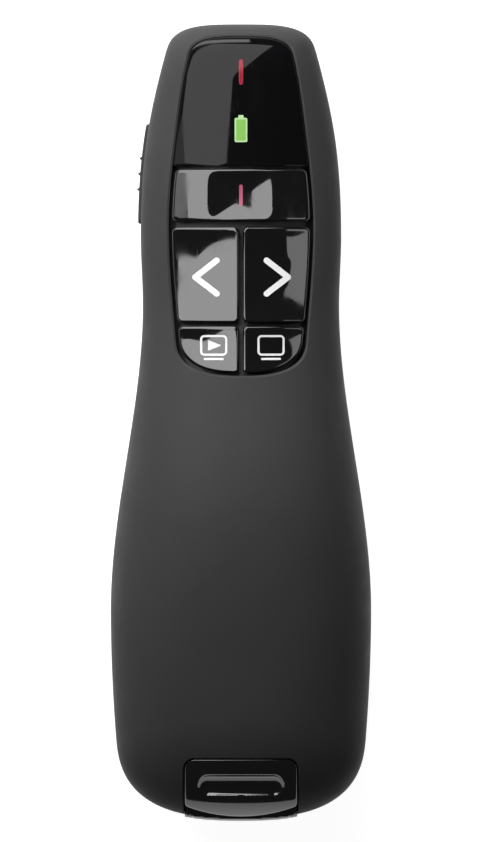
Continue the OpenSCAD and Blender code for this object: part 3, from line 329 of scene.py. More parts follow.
# %% [markdown]
# ## Outlines as depths
#
# The panel's opening, the keys, the notch and the slider all have outlines with eased corners.
# Each outline is written as how deep a place lies inside each of its sides. A ray from the
# middle then finds the outline, at any inset, and rings of such points stack up into a solid:
# a key with a rounded rim, or a cutter that flares where it meets the case.

# %% Stacked rings
def eased_depth(depths, corner):
    """Depth inside all of the sides, with the corners between them eased."""
    return corner - math.sqrt(sum(max(0.0, corner - depth) ** 2 for depth in depths))


def reach(centre, angle, inset, outline, corner):
    """Distance from the centre to the outline at an inset."""
    near, beyond = 0.0, 36.0
    dx, dy = math.cos(angle), math.sin(angle)
    for _ in range(22):
        middle = (near + beyond) / 2
        x, y = centre[0] + middle * dx, centre[1] + middle * dy
        ease = corner(y) if callable(corner) else corner
        if eased_depth(outline(x, y, inset), ease) > inset:
            near = middle
        else:
            beyond = middle
    return near


def even_angles(centre, outline, corner, count, samples=360, turn_weight=2.2):
    """Angles of rays whose ends lie evenly along the outline, and closer where it turns."""
    rays = [2 * math.pi * k / samples for k in range(samples)]
    ends = [Vector((math.cos(a), math.sin(a))) * reach(centre, a, 0.0, outline, corner)
            for a in rays]
    steps = []
    for k in range(samples):
        ahead = ends[(k + 1) % samples] - ends[k]
        behind = ends[k] - ends[k - 1]
        steps.append(ahead.length + turn_weight * abs(ahead.angle_signed(behind, 0.0)))
    total, walked, k, angles = sum(steps), 0.0, 0, []
    for n in range(count):
        while walked + steps[k] < total * n / count:
            walked += steps[k]
            k += 1
        angles.append(rays[k] + 2 * math.pi / samples * (total * n / count - walked) / steps[k])
    return angles


def level(z):
    return lambda a, b: z


def lowered(surface, drop):
    return lambda a, b: surface(a, b) - drop


def stack(centre, outline, corner, stations, columns=144, lay=lambda a, b, h: Vector((a, b, h))):
    """Solid through rings of one outline. A station is (inset, share of the ring, height)."""
    angles = even_angles(centre, outline, corner, columns)
    reaches = {inset: [reach(centre, a, inset, outline, corner) for a in angles]
               for inset in {station[0] for station in stations}}

    def place(column, row):
        inset, share, rise = stations[row]
        distance = share * reaches[inset][column % columns]
        angle = angles[column % columns]
        a = centre[0] + distance * math.cos(angle)
        b = centre[1] + distance * math.sin(angle)
        return lay(a, b, rise(a, b))

    return wrapped_grid(columns, len(stations) - 1, place)


def foot(surface):
    return [(0.0, 0.0, surface), (0.0, 1.0, surface)]


def pad_stations(top, bottom, edge, edge_steps=6, rings=22):
    """From the middle of the underside, over a rim rounded by edge, to the middle of the top."""
    stations = foot(bottom)
    for k in range(edge_steps + 1):
        turn = math.pi / 2 * k / edge_steps
        drop = edge * (1 - math.sin(turn))
        stations.append((edge * (1 - math.cos(turn)), 1.0, lowered(top, drop)))
    return stations + [(edge, 1 - k / rings, top) for k in range(1, rings + 1)]


def cutter_stations(surface, low, chamfer, above=3.0):
    """A straight cutter that flares by a chamfer where it meets a surface."""
    clear = lowered(surface, -above)
    return foot(level(low)) + [(0.0, 1.0, lowered(surface, chamfer)), (-chamfer, 1.0, surface),
                               (-chamfer, 1.0, clear), (-chamfer, 0.0, clear)]


# %% Outline of the panel
panel_high_y = head_y - 1.85
panel_low_y = panel_high_y - 49.1
window_low_y = panel_high_y - 18.85
laser_rows = (window_low_y - 0.4 - 7.55, window_low_y - 0.4)
arrow_rows = (laser_rows[0] - 0.8 - 13.8, laser_rows[0] - 0.8)
small_rows = (panel_low_y + 0.45, arrow_rows[0] - 0.5)
panel_half_w = 10.45
PANEL = (
    (panel_low_y, 9.05, 0.06),
    (arrow_rows[1], panel_half_w, 0.0),
    (panel_high_y - 13.2, panel_half_w - 1.2, -0.12),
    (panel_high_y, 6.85, -0.29),
)
PANEL_ROUNDS = ((5.0, 2.6), (3.0, 3.2))
key_gap, middle_gap, window_gap = 0.45, 0.54, 0.12


def panel_half(y, gap):
    return rounded_curve(PANEL, PANEL_ROUNDS, y, gap)


def panel_depth(x, y, gap, probe=0.01):
    """How deep a place lies inside the panel's outline with a gap all round."""
    if y <= panel_low_y + gap:
        return y - panel_low_y - gap - 1e-3
    if y >= panel_high_y - gap:
        return panel_high_y - gap - y - 1e-3
    half = panel_half(y, gap)
    slope = (panel_half(y + probe, gap) - panel_half(y - probe, gap)) / (2 * probe)
    return (half - abs(x)) / math.hypot(1, slope)


def panel_outline(x, y, inset):
    return [inset + panel_depth(x, y, inset)]


panel_middle = (0.0, (panel_low_y + panel_high_y) / 2)
print(f"panel from {panel_low_y:.2f} to {panel_high_y:.2f} mm")

# %% [markdown]
# ## The top shell
#
# The top shell carries the panel and has a notch at the tail for the receiver. Both openings are
# cut with stacked rings, so the edge has a thin chamfer that follows the crown and catches the
# light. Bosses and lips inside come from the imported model: a merged copy of it, kept only where
# it lies inside the wall, is added to the smooth shell.

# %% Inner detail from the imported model
def inner_detail(node, side, inset=wall / 2, past_seam=2.0):
    """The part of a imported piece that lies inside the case's wall."""
    detail = bmesh.new()
    detail.from_mesh(nodes[node].data)
    bmesh.ops.remove_doubles(detail, verts=detail.verts, dist=1e-7)
    bmesh.ops.scale(detail, vec=(1 / MM, 1 / MM, 1 / MM), verts=detail.verts)
    return common(detail, case_core(side, inset, past_seam))


# %% Build the top shell
notch_y = tail_y + 8.8
cap_half = 8.15
notch_gap = 0.15
notch_corner = 1.6
notch_z = 14.2
past_tail = 6
panel_chamfer, notch_chamfer = 0.3, 0.15


def notch_outline(x, y, inset):
    return [cap_half + notch_gap - abs(x), notch_y - y, y - (end_y - past_tail)]


panel_cutter = stack(panel_middle, panel_outline, 0.01,
                     cutter_stations(crown_z, seam_z + 1, panel_chamfer), columns=220)
notch_cutter = stack((0.0, notch_y - past_tail), notch_outline, notch_corner,
                     cutter_stations(crown_z, notch_z, notch_chamfer))
top_form = joined(case_half(1), inner_detail("top_shell", 1))
top_form = carve(top_form, panel_cutter, notch_cutter)
top_shell = finish_piece("case_top", top_form, "casing", ["top_shell"])

# %% [markdown]
# ## The rear shell and the battery door
#
# The rear shell is the same kind of grid below the seam. The battery door is cut from the same
# form, so its outer face carries on the belly without a step, and only the fine gap between the
# two shows. The rear shell also has the pocket for the power slider, the laser's aperture, and
# the slot and ledges inside that hold the door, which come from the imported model.

# %% Tools for straight cuts
def block(low, high, bevel=0.0, segments=3):
    """A box between two corners, its edges rounded where a bevel is given."""
    form = bmesh.new()
    size = Vector(high) - Vector(low)
    bmesh.ops.create_cube(form, size=1.0)
    bmesh.ops.scale(form, vec=size, verts=form.verts)
    bmesh.ops.translate(form, vec=(Vector(high) + Vector(low)) / 2, verts=form.verts)
    if bevel:
        bmesh.ops.bevel(form, geom=form.edges, offset=bevel, segments=segments,
                        affect="EDGES", profile=0.5, material=-1)
    return form


def rod(centre, radius, length, axis="Z", segments=48, far_radius=None):
    """An upright cylinder or cone about a centre, or one that lies along the case."""
    turn = Matrix.Rotation(-math.pi / 2, 4, "X") if axis == "Y" else Matrix.Identity(4)
    form = bmesh.new()
    bmesh.ops.create_cone(form, cap_ends=True, segments=segments, radius1=radius,
                          radius2=radius if far_radius is None else far_radius, depth=length,
                          matrix=Matrix.Translation(centre) @ turn)
    return form


# %% Build the rear shell and the door
door_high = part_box("battery_door")[1] / MM
door_head_y = door_high.y - 2.0         # the tongue goes 2 mm further
door_step_y = tail_y + 9.2
door_edge_z, door_tail_z = 5.0, 7.2
door_gap = 0.1
groove_y, groove_pitch = door_head_y - 6, 1.6
groove_reach, groove_half, groove_depth, groove_round = 5, 0.4, 0.45, 0.3
far = 40.0


def door_zone(gap):
    """What the battery door takes from the case, with a gap round it."""
    return joined(block((-far, -2 * far, -far), (far, door_step_y + gap, door_tail_z + gap)),
                  block((-far, door_step_y - 2, -far),
                        (far, door_head_y + gap, door_edge_z + gap)))


def groove(y):
    return block((-groove_reach, y - groove_half, -1),
                 (groove_reach, y + groove_half, groove_depth), groove_round)


lower_shell = joined(carve(case_half(-1), door_zone(door_gap)), inner_detail("rear_shell", -1))
door_form = joined(common(case_half(-1), door_zone(0.0)), inner_detail("battery_door", -1))
door_form = carve(door_form, *[groove(groove_y - groove_pitch * k) for k in range(5)])
battery_door = finish_piece("case_door", door_form, "door", ["battery_door"])

# %% [markdown]
# ## The power slider
#
# The slider lies in a pocket of the left side and follows its curve. Both the pocket's cutter and
# the slider's cap are stacked rings that are laid on the side: one direction runs along the case,
# one runs up, and the height stands out from the side's own face.

# %% The side of the case as a surface
slider_y = head_y - 21.65
slider_half = 7.25
slider_travel = 2.2
slider_z = (7.95, 12.45)
slider_turn = math.atan(-0.0802)
slider_proud = 0.42


def side_x(y, z, out):
    """Half width of the lower case at a height, moved out from its outer face."""
    share = min(1.0, (seam_z - z) / height(-1, y, -out))
    return half_width(y, -out) * bow(share, POWERS[-1])


def lay_on_side(along, z, out):
    y = slider_y + along * math.cos(slider_turn)
    return Vector((-side_x(y, z, out), y, z))


def side_outline(half_length, low, high):
    return lambda a, b, inset: [half_length - abs(a), b - low, high - b]


slider_middle = (0.0, sum(slider_z) / 2)
pocket_gap, pocket_depth = 0.15, 0.75
pocket_half = slider_half + slider_travel / 2 + pocket_gap
pocket = stack(slider_middle,
               side_outline(pocket_half, slider_z[0] - pocket_gap, slider_z[1] + pocket_gap), 0.5,
               foot(level(2.0)) + [(0.0, 1.0, level(-pocket_gap)),
                                   (pocket_gap, 1.0, level(-2 * pocket_gap))]
               + [(pocket_gap, 1 - k / 8, level(-pocket_depth)) for k in range(9)],
               lay=lay_on_side)
laser_z, aperture_r, aperture_flare = 9.6, 2.2, 1.0
aperture = rod((0, head_y - 2, laser_z), aperture_r, 8, "Y")
flare = rod((0, head_y - 0.2, laser_z), aperture_r, 1.2, "Y",
            far_radius=aperture_r + aperture_flare)
lower_shell = carve(lower_shell, pocket, aperture, flare)
rear_shell = finish_piece("case_rear", lower_shell, "casing", ["rear_shell"])

# %% Build the slider's cap
rib_pitch, rib_margins = 2.25, (0.75, 0.4)


def rib(along, tall=0.36, half_w=0.85, root=-0.3, cuts=8):
    """A pointed rib that follows the side: a three-cornered prism laid on it."""
    low, high = slider_z[0] + rib_margins[0], slider_z[1] - rib_margins[1]
    form = bmesh.new()
    bmesh.ops.create_cone(form, cap_ends=True, segments=3, radius1=1.0, radius2=1.0,
                          depth=high - low)
    long_edges = [edge for edge in form.edges
                  if abs(edge.verts[0].co.z - edge.verts[1].co.z) > 1.0]
    bmesh.ops.subdivide_edges(form, edges=long_edges, cuts=cuts)
    for vertex in form.verts:
        # The unit triangle is 2 cos(30) wide, with its point at 1 and its root at -0.5.
        sideways = vertex.co.x / math.cos(math.pi / 6)
        out = mix(root, slider_proud + tall, (vertex.co.y + 0.5) / 1.5)
        vertex.co = lay_on_side(along + half_w * sideways, (low + high) / 2 + vertex.co.z, out)
    bmesh.ops.recalc_face_normals(form, faces=form.faces)
    return form


slider_form = stack(slider_middle, side_outline(slider_half, *slider_z), 0.6,
                    pad_stations(level(slider_proud), level(-0.5), 0.25, rings=12),
                    lay=lay_on_side)
stem_x, stem_half, stem_z = (0.35, 2.7), 1.6, (9.4, 11.2)
flank_x = -half_width(slider_y)
stem = block((flank_x + stem_x[0], slider_y - stem_half, stem_z[0]),
             (flank_x + stem_x[1], slider_y + stem_half, stem_z[1]), 0.1)
slider_form = joined(slider_form, *[rib(rib_pitch * k) for k in (-1, 0, 1)])
slider_form = joined(slider_form, stem)
slider_cap = finish_piece("slider_cap", slider_form, "power_switch", ["power_slider"])

# %% [markdown]
# ## The display window and the keys
#
# The window and the five keys are polished black. A key is a pad of stacked rings: its rim is
# rounded, so it catches a bright line of light, and its face sinks into a shallow dish that the
# thumb finds. The laser key has a deeper well in its middle.

# %% Build the window
window_t, window_edge = 1.6, 0.12
window_middle = (0.0, mix(window_low_y, panel_high_y, 0.45))


def window_outline(x, y, inset):
    return [inset + panel_depth(x, y, window_gap + inset), y - window_low_y]


window_form = stack(window_middle, window_outline, 0.4,
                    pad_stations(crown_z, lowered(crown_z, window_t), window_edge, 4, 24),
                    columns=180)


# %% Keys
key_proud, key_thickness, key_edge, key_corner = 0.2, 1.5, 0.38, 0.75
print_root, print_t, print_rings = 0.05, 0.012, 22
board_top = 13.9 + 1.2                  # its underside and its thickness
plunger_top = board_top + 2.0 + 0.6     # over a switch and its plunger


def key_outline(low, high):
    """Outline of the panel between low and high corners, less the gap round the keys."""
    def depths(x, y, inset):
        return [inset + panel_depth(x, y, key_gap + inset),
                x - low[0], high[0] - x, y - low[1], high[1] - y]
    return depths


def basin(middle, half, depth, power=4.0, slope=3.0):
    """Depth of a dish with rounded corners at a place."""
    def drop(x, y):
        u = abs(x - middle[0]) / half[0]
        v = abs(y - middle[1]) / half[1]
        out = (u**power + v**power) ** (1 / power)
        return depth * max(0.0, 1 - out**slope) if out < 1 else 0.0
    return drop


def key_form(middle, outline, dish, columns=160):
    """A key's pad, and the thin layer over its face that its legend is cut from."""
    def top(x, y):
        return crown_z(x, y) + key_proud - dish(x, y)

    pad = pad_stations(top, lowered(crown_z, key_thickness - key_proud), key_edge)
    shares = [k / print_rings for k in range(print_rings + 1)]
    layer = ([(key_edge, share, lowered(top, print_root)) for share in shares]
             + [(key_edge, 1 - share, lowered(top, -print_t)) for share in shares])
    return [stack(middle, outline, key_corner, stations, columns) for stations in (pad, layer)]


# %% [markdown]
# ## Printed legends
#
# A legend could be an image, a decal mesh or real print. Each one here is a very thin layer that
# follows its key's face. Its outline comes from hulls round small discs: two discs give a stroke
# with round ends, four give a rounded square, three a triangle. Cutting the layer with such a
# prism leaves the printed shape.

# %% Hulls of discs
PRINT_LOW, PRINT_HIGH = 10.0, 30.0


def hull(points, radius, segments=24):
    """An upright prism round a disc at each point."""
    form = bmesh.new()
    for x, y in points:
        for z in (PRINT_LOW, PRINT_HIGH):
            bmesh.ops.create_circle(form, segments=segments, radius=radius,
                                    matrix=Matrix.Translation((x, y, z)))
    bmesh.ops.convex_hull(form, input=form.verts)
    inside = [vertex for vertex in form.verts if not vertex.link_faces]
    bmesh.ops.delete(form, geom=inside, context="VERTS")
    return form


def corners(middle, half, corner):
    """Disc places for a rounded rectangle."""
    return [(middle[0] + a * (half[0] - corner), middle[1] + b * (half[1] - corner))
            for a in (-1, 1) for b in (-1, 1)]


def chevron(tip, reach_x):
    """Two strokes that meet at a tip."""
    ends = [(tip[0] + reach_x, tip[1] + side * chevron_half) for side in (-1, 1)]
    return joined(*[hull([tip, end], chevron_w / 2) for end in ends])


def screen_icon(x):
    """A rounded square in outline with a line under it: a screen."""
    inner_half, inner_r = [half - icon_w for half in icon_half], icon_r - icon_w
    ring = carve(hull(corners((x, icon_y), icon_half, icon_r), icon_r),
                 hull(corners((x, icon_y), inner_half, inner_r), inner_r))
    return joined(ring, hull([(x - line_half, line_y), (x + line_half, line_y)], icon_w / 2))


# %% Build the keys with their legends
arrow_x, small_x = 5.2, 4.6
laser_dish = ((4.75, 3.75), 0.65, 5.0, 2.0)     # half size, depth, power and slope of a basin
arrow_dish = ((5.3, 7.3), 0.55, 5.0, 2.6)
small_dish = ((6.5, 5.0), 0.72, 3.0, 1.4)
small_dish_drop = 0.6
laser_y, laser_line = sum(laser_rows) / 2, (1.3, 0.25)
chevron_y, chevron_reach, chevron_half, chevron_w = 21.07, 3.1, 2.4, 0.86
previous_tip, next_tip = -6.6, 6.8
icon_y, icon_half, icon_r, icon_w = 11.21, (1.96, 1.49), 0.62, 0.3
line_y, line_half = 9.25, 1.3
play_x, screen_x = -3.93, 4.34
play_back, play_front, play_half, play_r = 0.72, 0.88, 0.62, 0.1
key_stem_r, key_stem_drop = 1.6, 0.8
wide = 30.0


def key_place(side, x, rows, dish, low_y=None, dish_drop=0.0):
    """Middle, outline and dish of a key on the left (-1), on the right (1) or across (0)."""
    middle = (x, sum(rows) / 2)
    low = (middle_gap / 2 if side > 0 else -wide, rows[0] if low_y is None else low_y)
    high = (-middle_gap / 2 if side < 0 else wide, rows[1])
    return middle, key_outline(low, high), basin((x, middle[1] - dish_drop), *dish)


def small_key(side):
    return key_place(side, side * small_x, small_rows, small_dish, panel_low_y, small_dish_drop)


play = hull([(play_x - play_back, icon_y - play_half), (play_x - play_back, icon_y + play_half),
             (play_x + play_front, icon_y)], play_r)
KEYS = {
    "laser": (key_place(0, 0.0, laser_rows, laser_dish),
              hull([(0.0, laser_y + end * laser_line[0]) for end in (-1, 1)], laser_line[1])),
    "previous": (key_place(-1, -arrow_x, arrow_rows, arrow_dish),
                 chevron((previous_tip, chevron_y), chevron_reach)),
    "next": (key_place(1, arrow_x, arrow_rows, arrow_dish),
             chevron((next_tip, chevron_y), -chevron_reach)),
    "start": (small_key(-1), joined(screen_icon(play_x), play)),
    "blank": (small_key(1), screen_icon(screen_x)),
}
key_caps, legends = {}, {}
for name, ((middle, outline, dish), mark) in KEYS.items():
    pad, print_layer = key_form(middle, outline, dish)
    stem_top = crown_z(*middle) - key_stem_drop
    stem = rod((*middle, (plunger_top + stem_top) / 2), key_stem_r, stem_top - plunger_top)
    body = name + "_key"
    key_caps[name] = finish_piece(name + "_cap", joined(pad, stem), body, [name + "_button"])
    legends[name] = finish_piece(name + "_legend", common(print_layer, mark), body, [])

# %% [markdown]
# ## The lights in the window
#
# A red line and a green battery shine through the window: clear guides stand for the light of two
# small lamps on the board, and their glow is painted light, from their own emission. Each guide is
# a prism with round corners that ends flush with the window's face, in a hole of the same outline.

# %% Build the window and its light guides
laser_light_y = panel_high_y - 5.23
battery_light_y = panel_high_y - 13.6
line_half_y, line_r = 1.56, 0.285
cell_half, cell_r = (0.915, 1.75), 0.22
nub_half, nub_r, nub_rise = (0.38, 0.35), 0.12, 1.8
guide_low = board_top + 1.1 + 0.1       # over a lamp on the board
guide_gap = 0.02


def grown(half, grow):
    return [size + grow for size in half]


def laser_light(grow=0.0):
    return hull([(0, laser_light_y - line_half_y), (0, laser_light_y + line_half_y)],
                line_r + grow)


def battery_light(grow=0.0):
    cell = corners((0, battery_light_y), grown(cell_half, grow), cell_r)
    nub = corners((0, battery_light_y + nub_rise), grown(nub_half, grow), nub_r)
    return joined(hull(cell, cell_r), hull(nub, nub_r))


def guide_layer(y):
    """The space between the board's lamp and the window's face."""
    def outline(a, b, inset):
        return [2.0 - abs(a), 3.0 - abs(b - y)]

    face = lowered(crown_z, -0.01)
    return stack((0.0, y), outline, 0.3,
                 foot(level(guide_low)) + [(0.0, 1 - k / 12, face) for k in range(13)])


window_form = carve(window_form, laser_light(guide_gap), battery_light(guide_gap))
window = finish_piece("window_pane", window_form, "casing", ["display_window"])
red_guide = finish_piece("red_guide", common(guide_layer(laser_light_y), laser_light()),
                         "casing", ["laser_light_guide"])
green_guide = finish_piece("green_guide", common(guide_layer(battery_light_y), battery_light()),
                           "casing", ["battery_light_guide"])

# %% [markdown]
# ## The receiver
#
# The stowed receiver fills the notch at the tail with a glossy cap. The cap carries on the crown
# of the case and stands a little past the tail, where a step leaves a lower lip. A scoop in its
# face lets a fingernail pull it out. Behind the cap the stick goes into its dock.

# %% Build the receiver
receiver_z, stick_w, stick_h = 14.3, 15.2, 6.2
stick_end_y = notch_y - 0.3 + 17.7
usb_mid_z = receiver_z + stick_h / 2
cap_stretch = (end_y - notch_y) / (tail_y - notch_y)
scoop_y = notch_y - 3.85
scoop_half, scoop_r, scoop_depth = 6.4, 1.7, 0.95
lip_y, lip_r, lip_z, lip_depth = end_y + 0.8, 22.0, receiver_z + 1.3, 0.5
plug_half, room_half, room_half_h = 6.05, 6.2, 2.3


def cap_top(x, y):
    """The crown, drawn out past the tail."""
    y = notch_y + (y - notch_y) / cap_stretch if y < notch_y else y
    return crown_z(x, max(tail_y + 1e-4, y))


def scoop(x, y, ease=0.12):
    """Depth of the scoop: a round trough with round ends and an eased lip."""
    past = max(0.0, abs(x) - (scoop_half - scoop_r))
    away = math.hypot(past, y - scoop_y)
    floor = math.sqrt(max(0.0, scoop_r**2 - away**2)) - (scoop_r - scoop_depth)
    return (floor + math.hypot(floor, ease)) / 2


def cap_face(x, y):
    return cap_top(x, y) - scoop(x, y)


def lip_face(x, y, ease=0.25):
    gap = cap_top(x, y) - lip_z
    return lip_z + (gap - math.hypot(gap, ease)) / 2


def cap_corner(y):
    return notch_corner - notch_gap if y > scoop_y else 0.45


def cap_outline(x, y, inset):
    return [cap_half - abs(x), notch_y - notch_gap - y, y - end_y]


def face_outline(x, y, inset):
    return [cap_half - 0.05 - abs(x), notch_y - notch_gap - y,
            lip_r - math.hypot(x, y - lip_y - lip_r)]


def stick_bar():
    """The bar behind the cap: hollow, and open where its plug comes out."""
    low_z, high_z = usb_mid_z - room_half_h, usb_mid_z + room_half_h
    bar = block((-stick_w / 2, notch_y - 2, receiver_z),
                (stick_w / 2, stick_end_y, receiver_z + stick_h), 1.0, 5)
    plug_hole = block((-plug_half, stick_end_y - 2.9, low_z),
                      (plug_half, stick_end_y + 1, high_z))
    room = block((-room_half, notch_y + 1.4, low_z), (room_half, stick_end_y - 0.8, high_z), 0.4)
    return carve(bar, room, plug_hole)


cap_middle = (0.0, notch_y - 4.4)
cap_form = stack(cap_middle, face_outline, cap_corner,
                 pad_stations(cap_face, level(lip_z - lip_depth), 0.2, rings=48), columns=260)
lip_form = stack(cap_middle, cap_outline, cap_corner,
                 pad_stations(lip_face, level(seam_z - 2), 0.1, rings=30), columns=200)
cap_form = common(joined(cap_form, lip_form), block((-far, -2 * far, receiver_z), (far, 0, far)))
receiver_cap = finish_piece("receiver_cap", joined(cap_form, stick_bar()), "receiver",
                            ["receiver_housing"])

# %% [markdown]
# ## Effects that finishes share
#
# A finish is more than a colour: moulded plastic has a fine grain, a coat is rubbed smoother where
# it is held, steel is brushed. Each effect that more than one finish uses is a node group, built
# once. A group puts out masks and heights; every material decides what to do with them. All of
# them read object coordinates, which are metres in the clicker's own frame.

# %% A short way to write nodes
class Look:
    """A node tree that is being filled: who owns it, and the inputs that it ends in."""

    def __init__(self, owner, tree, inputs):
        self.owner, self.tree, self.inputs = owner, tree, inputs

    def connect(self, inputs, values):
        """Set each input, or link it where its value comes from another node."""
        for name, value in values.items():
            target = inputs[name.replace("_", " ") if isinstance(name, str) else name]
            if isinstance(value, bpy.types.NodeSocket):
                self.tree.links.new(value, target)
            else:
                target.default_value = value

    def finish(self, **values):
        self.connect(self.inputs, values)
        return self.owner

    def add(self, kind, values=None, **settings):
        """Outputs of a new node, its settings made and its inputs connected."""
        node = self.tree.nodes.new("ShaderNode" + kind)
        for name, value in settings.items():
            setattr(node, name, value)
        self.connect(node.inputs, values or {})
        return node.outputs

    def math(self, operation, a, b=0.0, clamp=False):
        return self.add("Math", {0: a, 1: b}, operation=operation, use_clamp=clamp)[0]

    def spread(self, value, low, high, start=0.0, end=1.0):
        """A value between start and end, moved to lie between low and high."""
        return self.add("MapRange", {"Value": value, "From Min": start, "From Max": end,
                                     "To Min": low, "To Max": high})[0]

    def shade(self, factor, dark, light):
        """A colour between two, by a mask. Each of the two is plain or comes from a node."""
        a, b = (c if isinstance(c, bpy.types.NodeSocket) else (*c, 1.0) for c in (dark, light))
        return self.add("Mix", {"Factor": factor, "A": a, "B": b}, data_type="RGBA")["Result"]

    def bump(self, height, distance):
        """A bump in metres for the shader's normal."""
        return self.add("Bump", {"Height": height, "Distance": distance, "Strength": 1.0})[0]

    def place(self):
        return self.add("TexCoord")["Object"]

    def noise(self, scale, place=None, **values):
        place = self.place() if place is None else place
        return self.add("TexNoise", {"Vector": place, "Scale": scale, **values})[0]

    def use(self, group, **values):
        return self.add("Group", values, node_tree=group)


def new_look(name, roughness, **values):
    """A material with a Principled shader whose plain inputs are set."""
    material = bpy.data.materials.new(name)
    material.use_nodes = True
    tree = material.node_tree
    look = Look(material, tree, tree.nodes["Principled BSDF"].inputs)
    look.finish(Roughness=roughness, **values)
    return look


def new_group(name, inputs, outputs):
    """An empty node group, and what comes into it."""
    group = bpy.data.node_groups.new(name, "ShaderNodeTree")
    for label, default in inputs.items():
        socket = group.interface.new_socket(label, in_out="INPUT", socket_type="NodeSocketFloat")
        socket.default_value = default
    for label in outputs:
        group.interface.new_socket(label, in_out="OUTPUT", socket_type="NodeSocketFloat")
    given = group.nodes.new("NodeGroupInput").outputs
    return Look(group, group, group.nodes.new("NodeGroupOutput").inputs), given


# %% Fine grain of moulded plastic
look, given = new_group("moulded_grain", {"Per metre": 6000.0}, ["Grain", "Mottle"])
fine = look.noise(given["Per metre"], Detail=2.0, Roughness=0.6)
cells = look.add("TexVoronoi", {"Vector": look.place(), "Scale": given["Per metre"]})
grain_group = look.finish(Grain=look.math("MULTIPLY", fine, cells["Distance"]),
                          Mottle=look.noise(90.0, Detail=4.0))

# %% Marks of handling: faint smudges and hairline scratches
look, given = new_group("handling", {"Smudge": 1.0, "Scratch": 1.0}, ["Smudge", "Scratch"])
turned = look.add("Mapping", {"Vector": look.place(), "Rotation": (0.0, 0.0, 0.6),
                              "Scale": (9000.0, 260.0, 2600.0)})[0]
smudge = look.spread(look.noise(140.0, Detail=3.0, Distortion=1.5), 0.0, 1.0, 0.45, 0.75)
scratch = look.spread(look.noise(1.0, turned, Detail=1.0), 0.0, 1.0, 0.66, 0.78)
wear_group = look.finish(Smudge=look.math("MULTIPLY", smudge, given["Smudge"]),
                         Scratch=look.math("MULTIPLY", scratch, given["Scratch"]))

# %% Brush lines of rolled or turned metal
look, given = new_group("brushed", {"Along": 400.0, "Across": 9000.0}, ["Lines"])
scale = look.add("CombineXYZ", {"X": given["Across"], "Y": given["Along"], "Z": given["Across"]})
stretched = look.add("Mapping", {"Vector": look.place(), "Scale": scale[0]})[0]
brush_group = look.finish(Lines=look.noise(1.0, stretched, Detail=3.0))
print("shared effects:", grain_group.name, wear_group.name, brush_group.name)

# %% [markdown]
# ## Finishes of the outside
#
# The shells have a soft-touch coat: a deep charcoal, almost matte, with a very fine grain and a
# slight polish where fingers rub it. The window and the keys are polished black, so what shows
# on them is the light round them, broken by faint smudges. The legends are white print.

# %% Soft-touch coat
def paint(material, *pieces):
    for piece in pieces:
        piece.data.materials.clear()
        piece.data.materials.append(material)
    print(material.name, "finishes", ", ".join(piece.name for piece in pieces))


def moulded(name, dark, light, roughness, per_metre, depth, **values):
    """Grained plastic, a little uneven in tone and gloss, and smoother where it is rubbed."""
    look = new_look(name, roughness, **values)
    grain = look.use(grain_group, Per_metre=per_metre)
    rubbed = look.math("MULTIPLY", look.use(wear_group)["Smudge"], 0.08)
    uneven = look.spread(grain["Mottle"], roughness - 0.03, roughness + 0.03)
    return look.finish(Base_Color=look.shade(grain["Mottle"], dark, light),
                       Roughness=look.math("SUBTRACT", uneven, rubbed),
                       Normal=look.bump(grain["Grain"], depth))


paint(moulded("soft_touch_coat", (0.037, 0.0365, 0.0375), (0.048, 0.0475, 0.049),
              0.6, 7000.0, 3e-6, Specular_IOR_Level=0.1),
      top_shell, rear_shell, battery_door, slider_cap)


# %% Polished black
def polished(name, colour, roughness, gloss):
    look = new_look(name, roughness, Specular_IOR_Level=gloss)
    marks = look.use(wear_group, Smudge=0.1, Scratch=0.12)
    lighter = tuple(1.6 * c + 0.002 for c in colour)
    dull = look.math("ADD", marks["Smudge"], marks["Scratch"])
    return look.finish(Base_Color=look.shade(marks["Smudge"], colour, lighter),
                       Roughness=look.math("ADD", dull, roughness))


paint(polished("polished_black", (0.004, 0.004, 0.0045), 0.03, 0.7), *key_caps.values())
paint(polished("smoked_pane", (0.003, 0.003, 0.0034), 0.03, 0.14), window)
paint(polished("receiver_black", (0.005, 0.005, 0.0055), 0.035, 1.0), receiver_cap)


# %% Print
def printed(name, dark, light):
    look = new_look(name, 0.35)
    grain = look.use(grain_group, Per_metre=9000.0)
    return look.finish(Base_Color=look.shade(grain["Mottle"], dark, light),
                       Normal=look.bump(grain["Grain"], 2e-6))


paint(printed("white_print", (0.7, 0.7, 0.7), (0.77, 0.77, 0.77)),
      *[legend for name, legend in legends.items() if name != "laser"])
paint(printed("pink_print", (0.34, 0.05, 0.11), (0.42, 0.08, 0.15)), legends["laser"])


# %% Lit guides
def lit_guide(name, colour, rim, middle, half, glow, rim_from=0.12, rim_to=0.3):
    """A clear guide that glows with painted light in place of the lamp below it, painted brighter
    along its rim.
    """
    # Painted light: the guide glows by its own emission, which stands in for the lamp below it.
    look = new_look(name, 0.12, Emission_Strength=glow, Specular_IOR_Level=0.16)
    place = look.add("SeparateXYZ", {0: look.place()})
    across = look.math("ABSOLUTE", place["X"])
    along = look.math("ABSOLUTE", look.math("SUBTRACT", place["Y"], middle * MM))
    near_rim = look.math("MINIMUM", look.math("SUBTRACT", half[0] * MM, across),
                         look.math("SUBTRACT", half[1] * MM, along))
    # Painted light: a band along the rim is painted brighter than the middle, in colour and in
    # glow.
    edge = look.spread(near_rim, 1.0, 0.0, rim_from * MM, rim_to * MM)
    cloud = look.math("MULTIPLY", look.noise(1500.0), 0.15)
    shade = look.shade(look.math("ADD", edge, cloud, clamp=True), colour, rim)
    return look.finish(Base_Color=shade, Emission_Color=shade)


paint(lit_guide("red_light", (0.2, 0.008, 0.02), (0.26, 0.018, 0.035),
                laser_light_y, (line_r, 1.85), 0.2), red_guide)
paint(lit_guide("green_light", (0.165, 0.375, 0.067), (0.36, 0.54, 0.28),
                battery_light_y, cell_half, 0.15), green_guide)

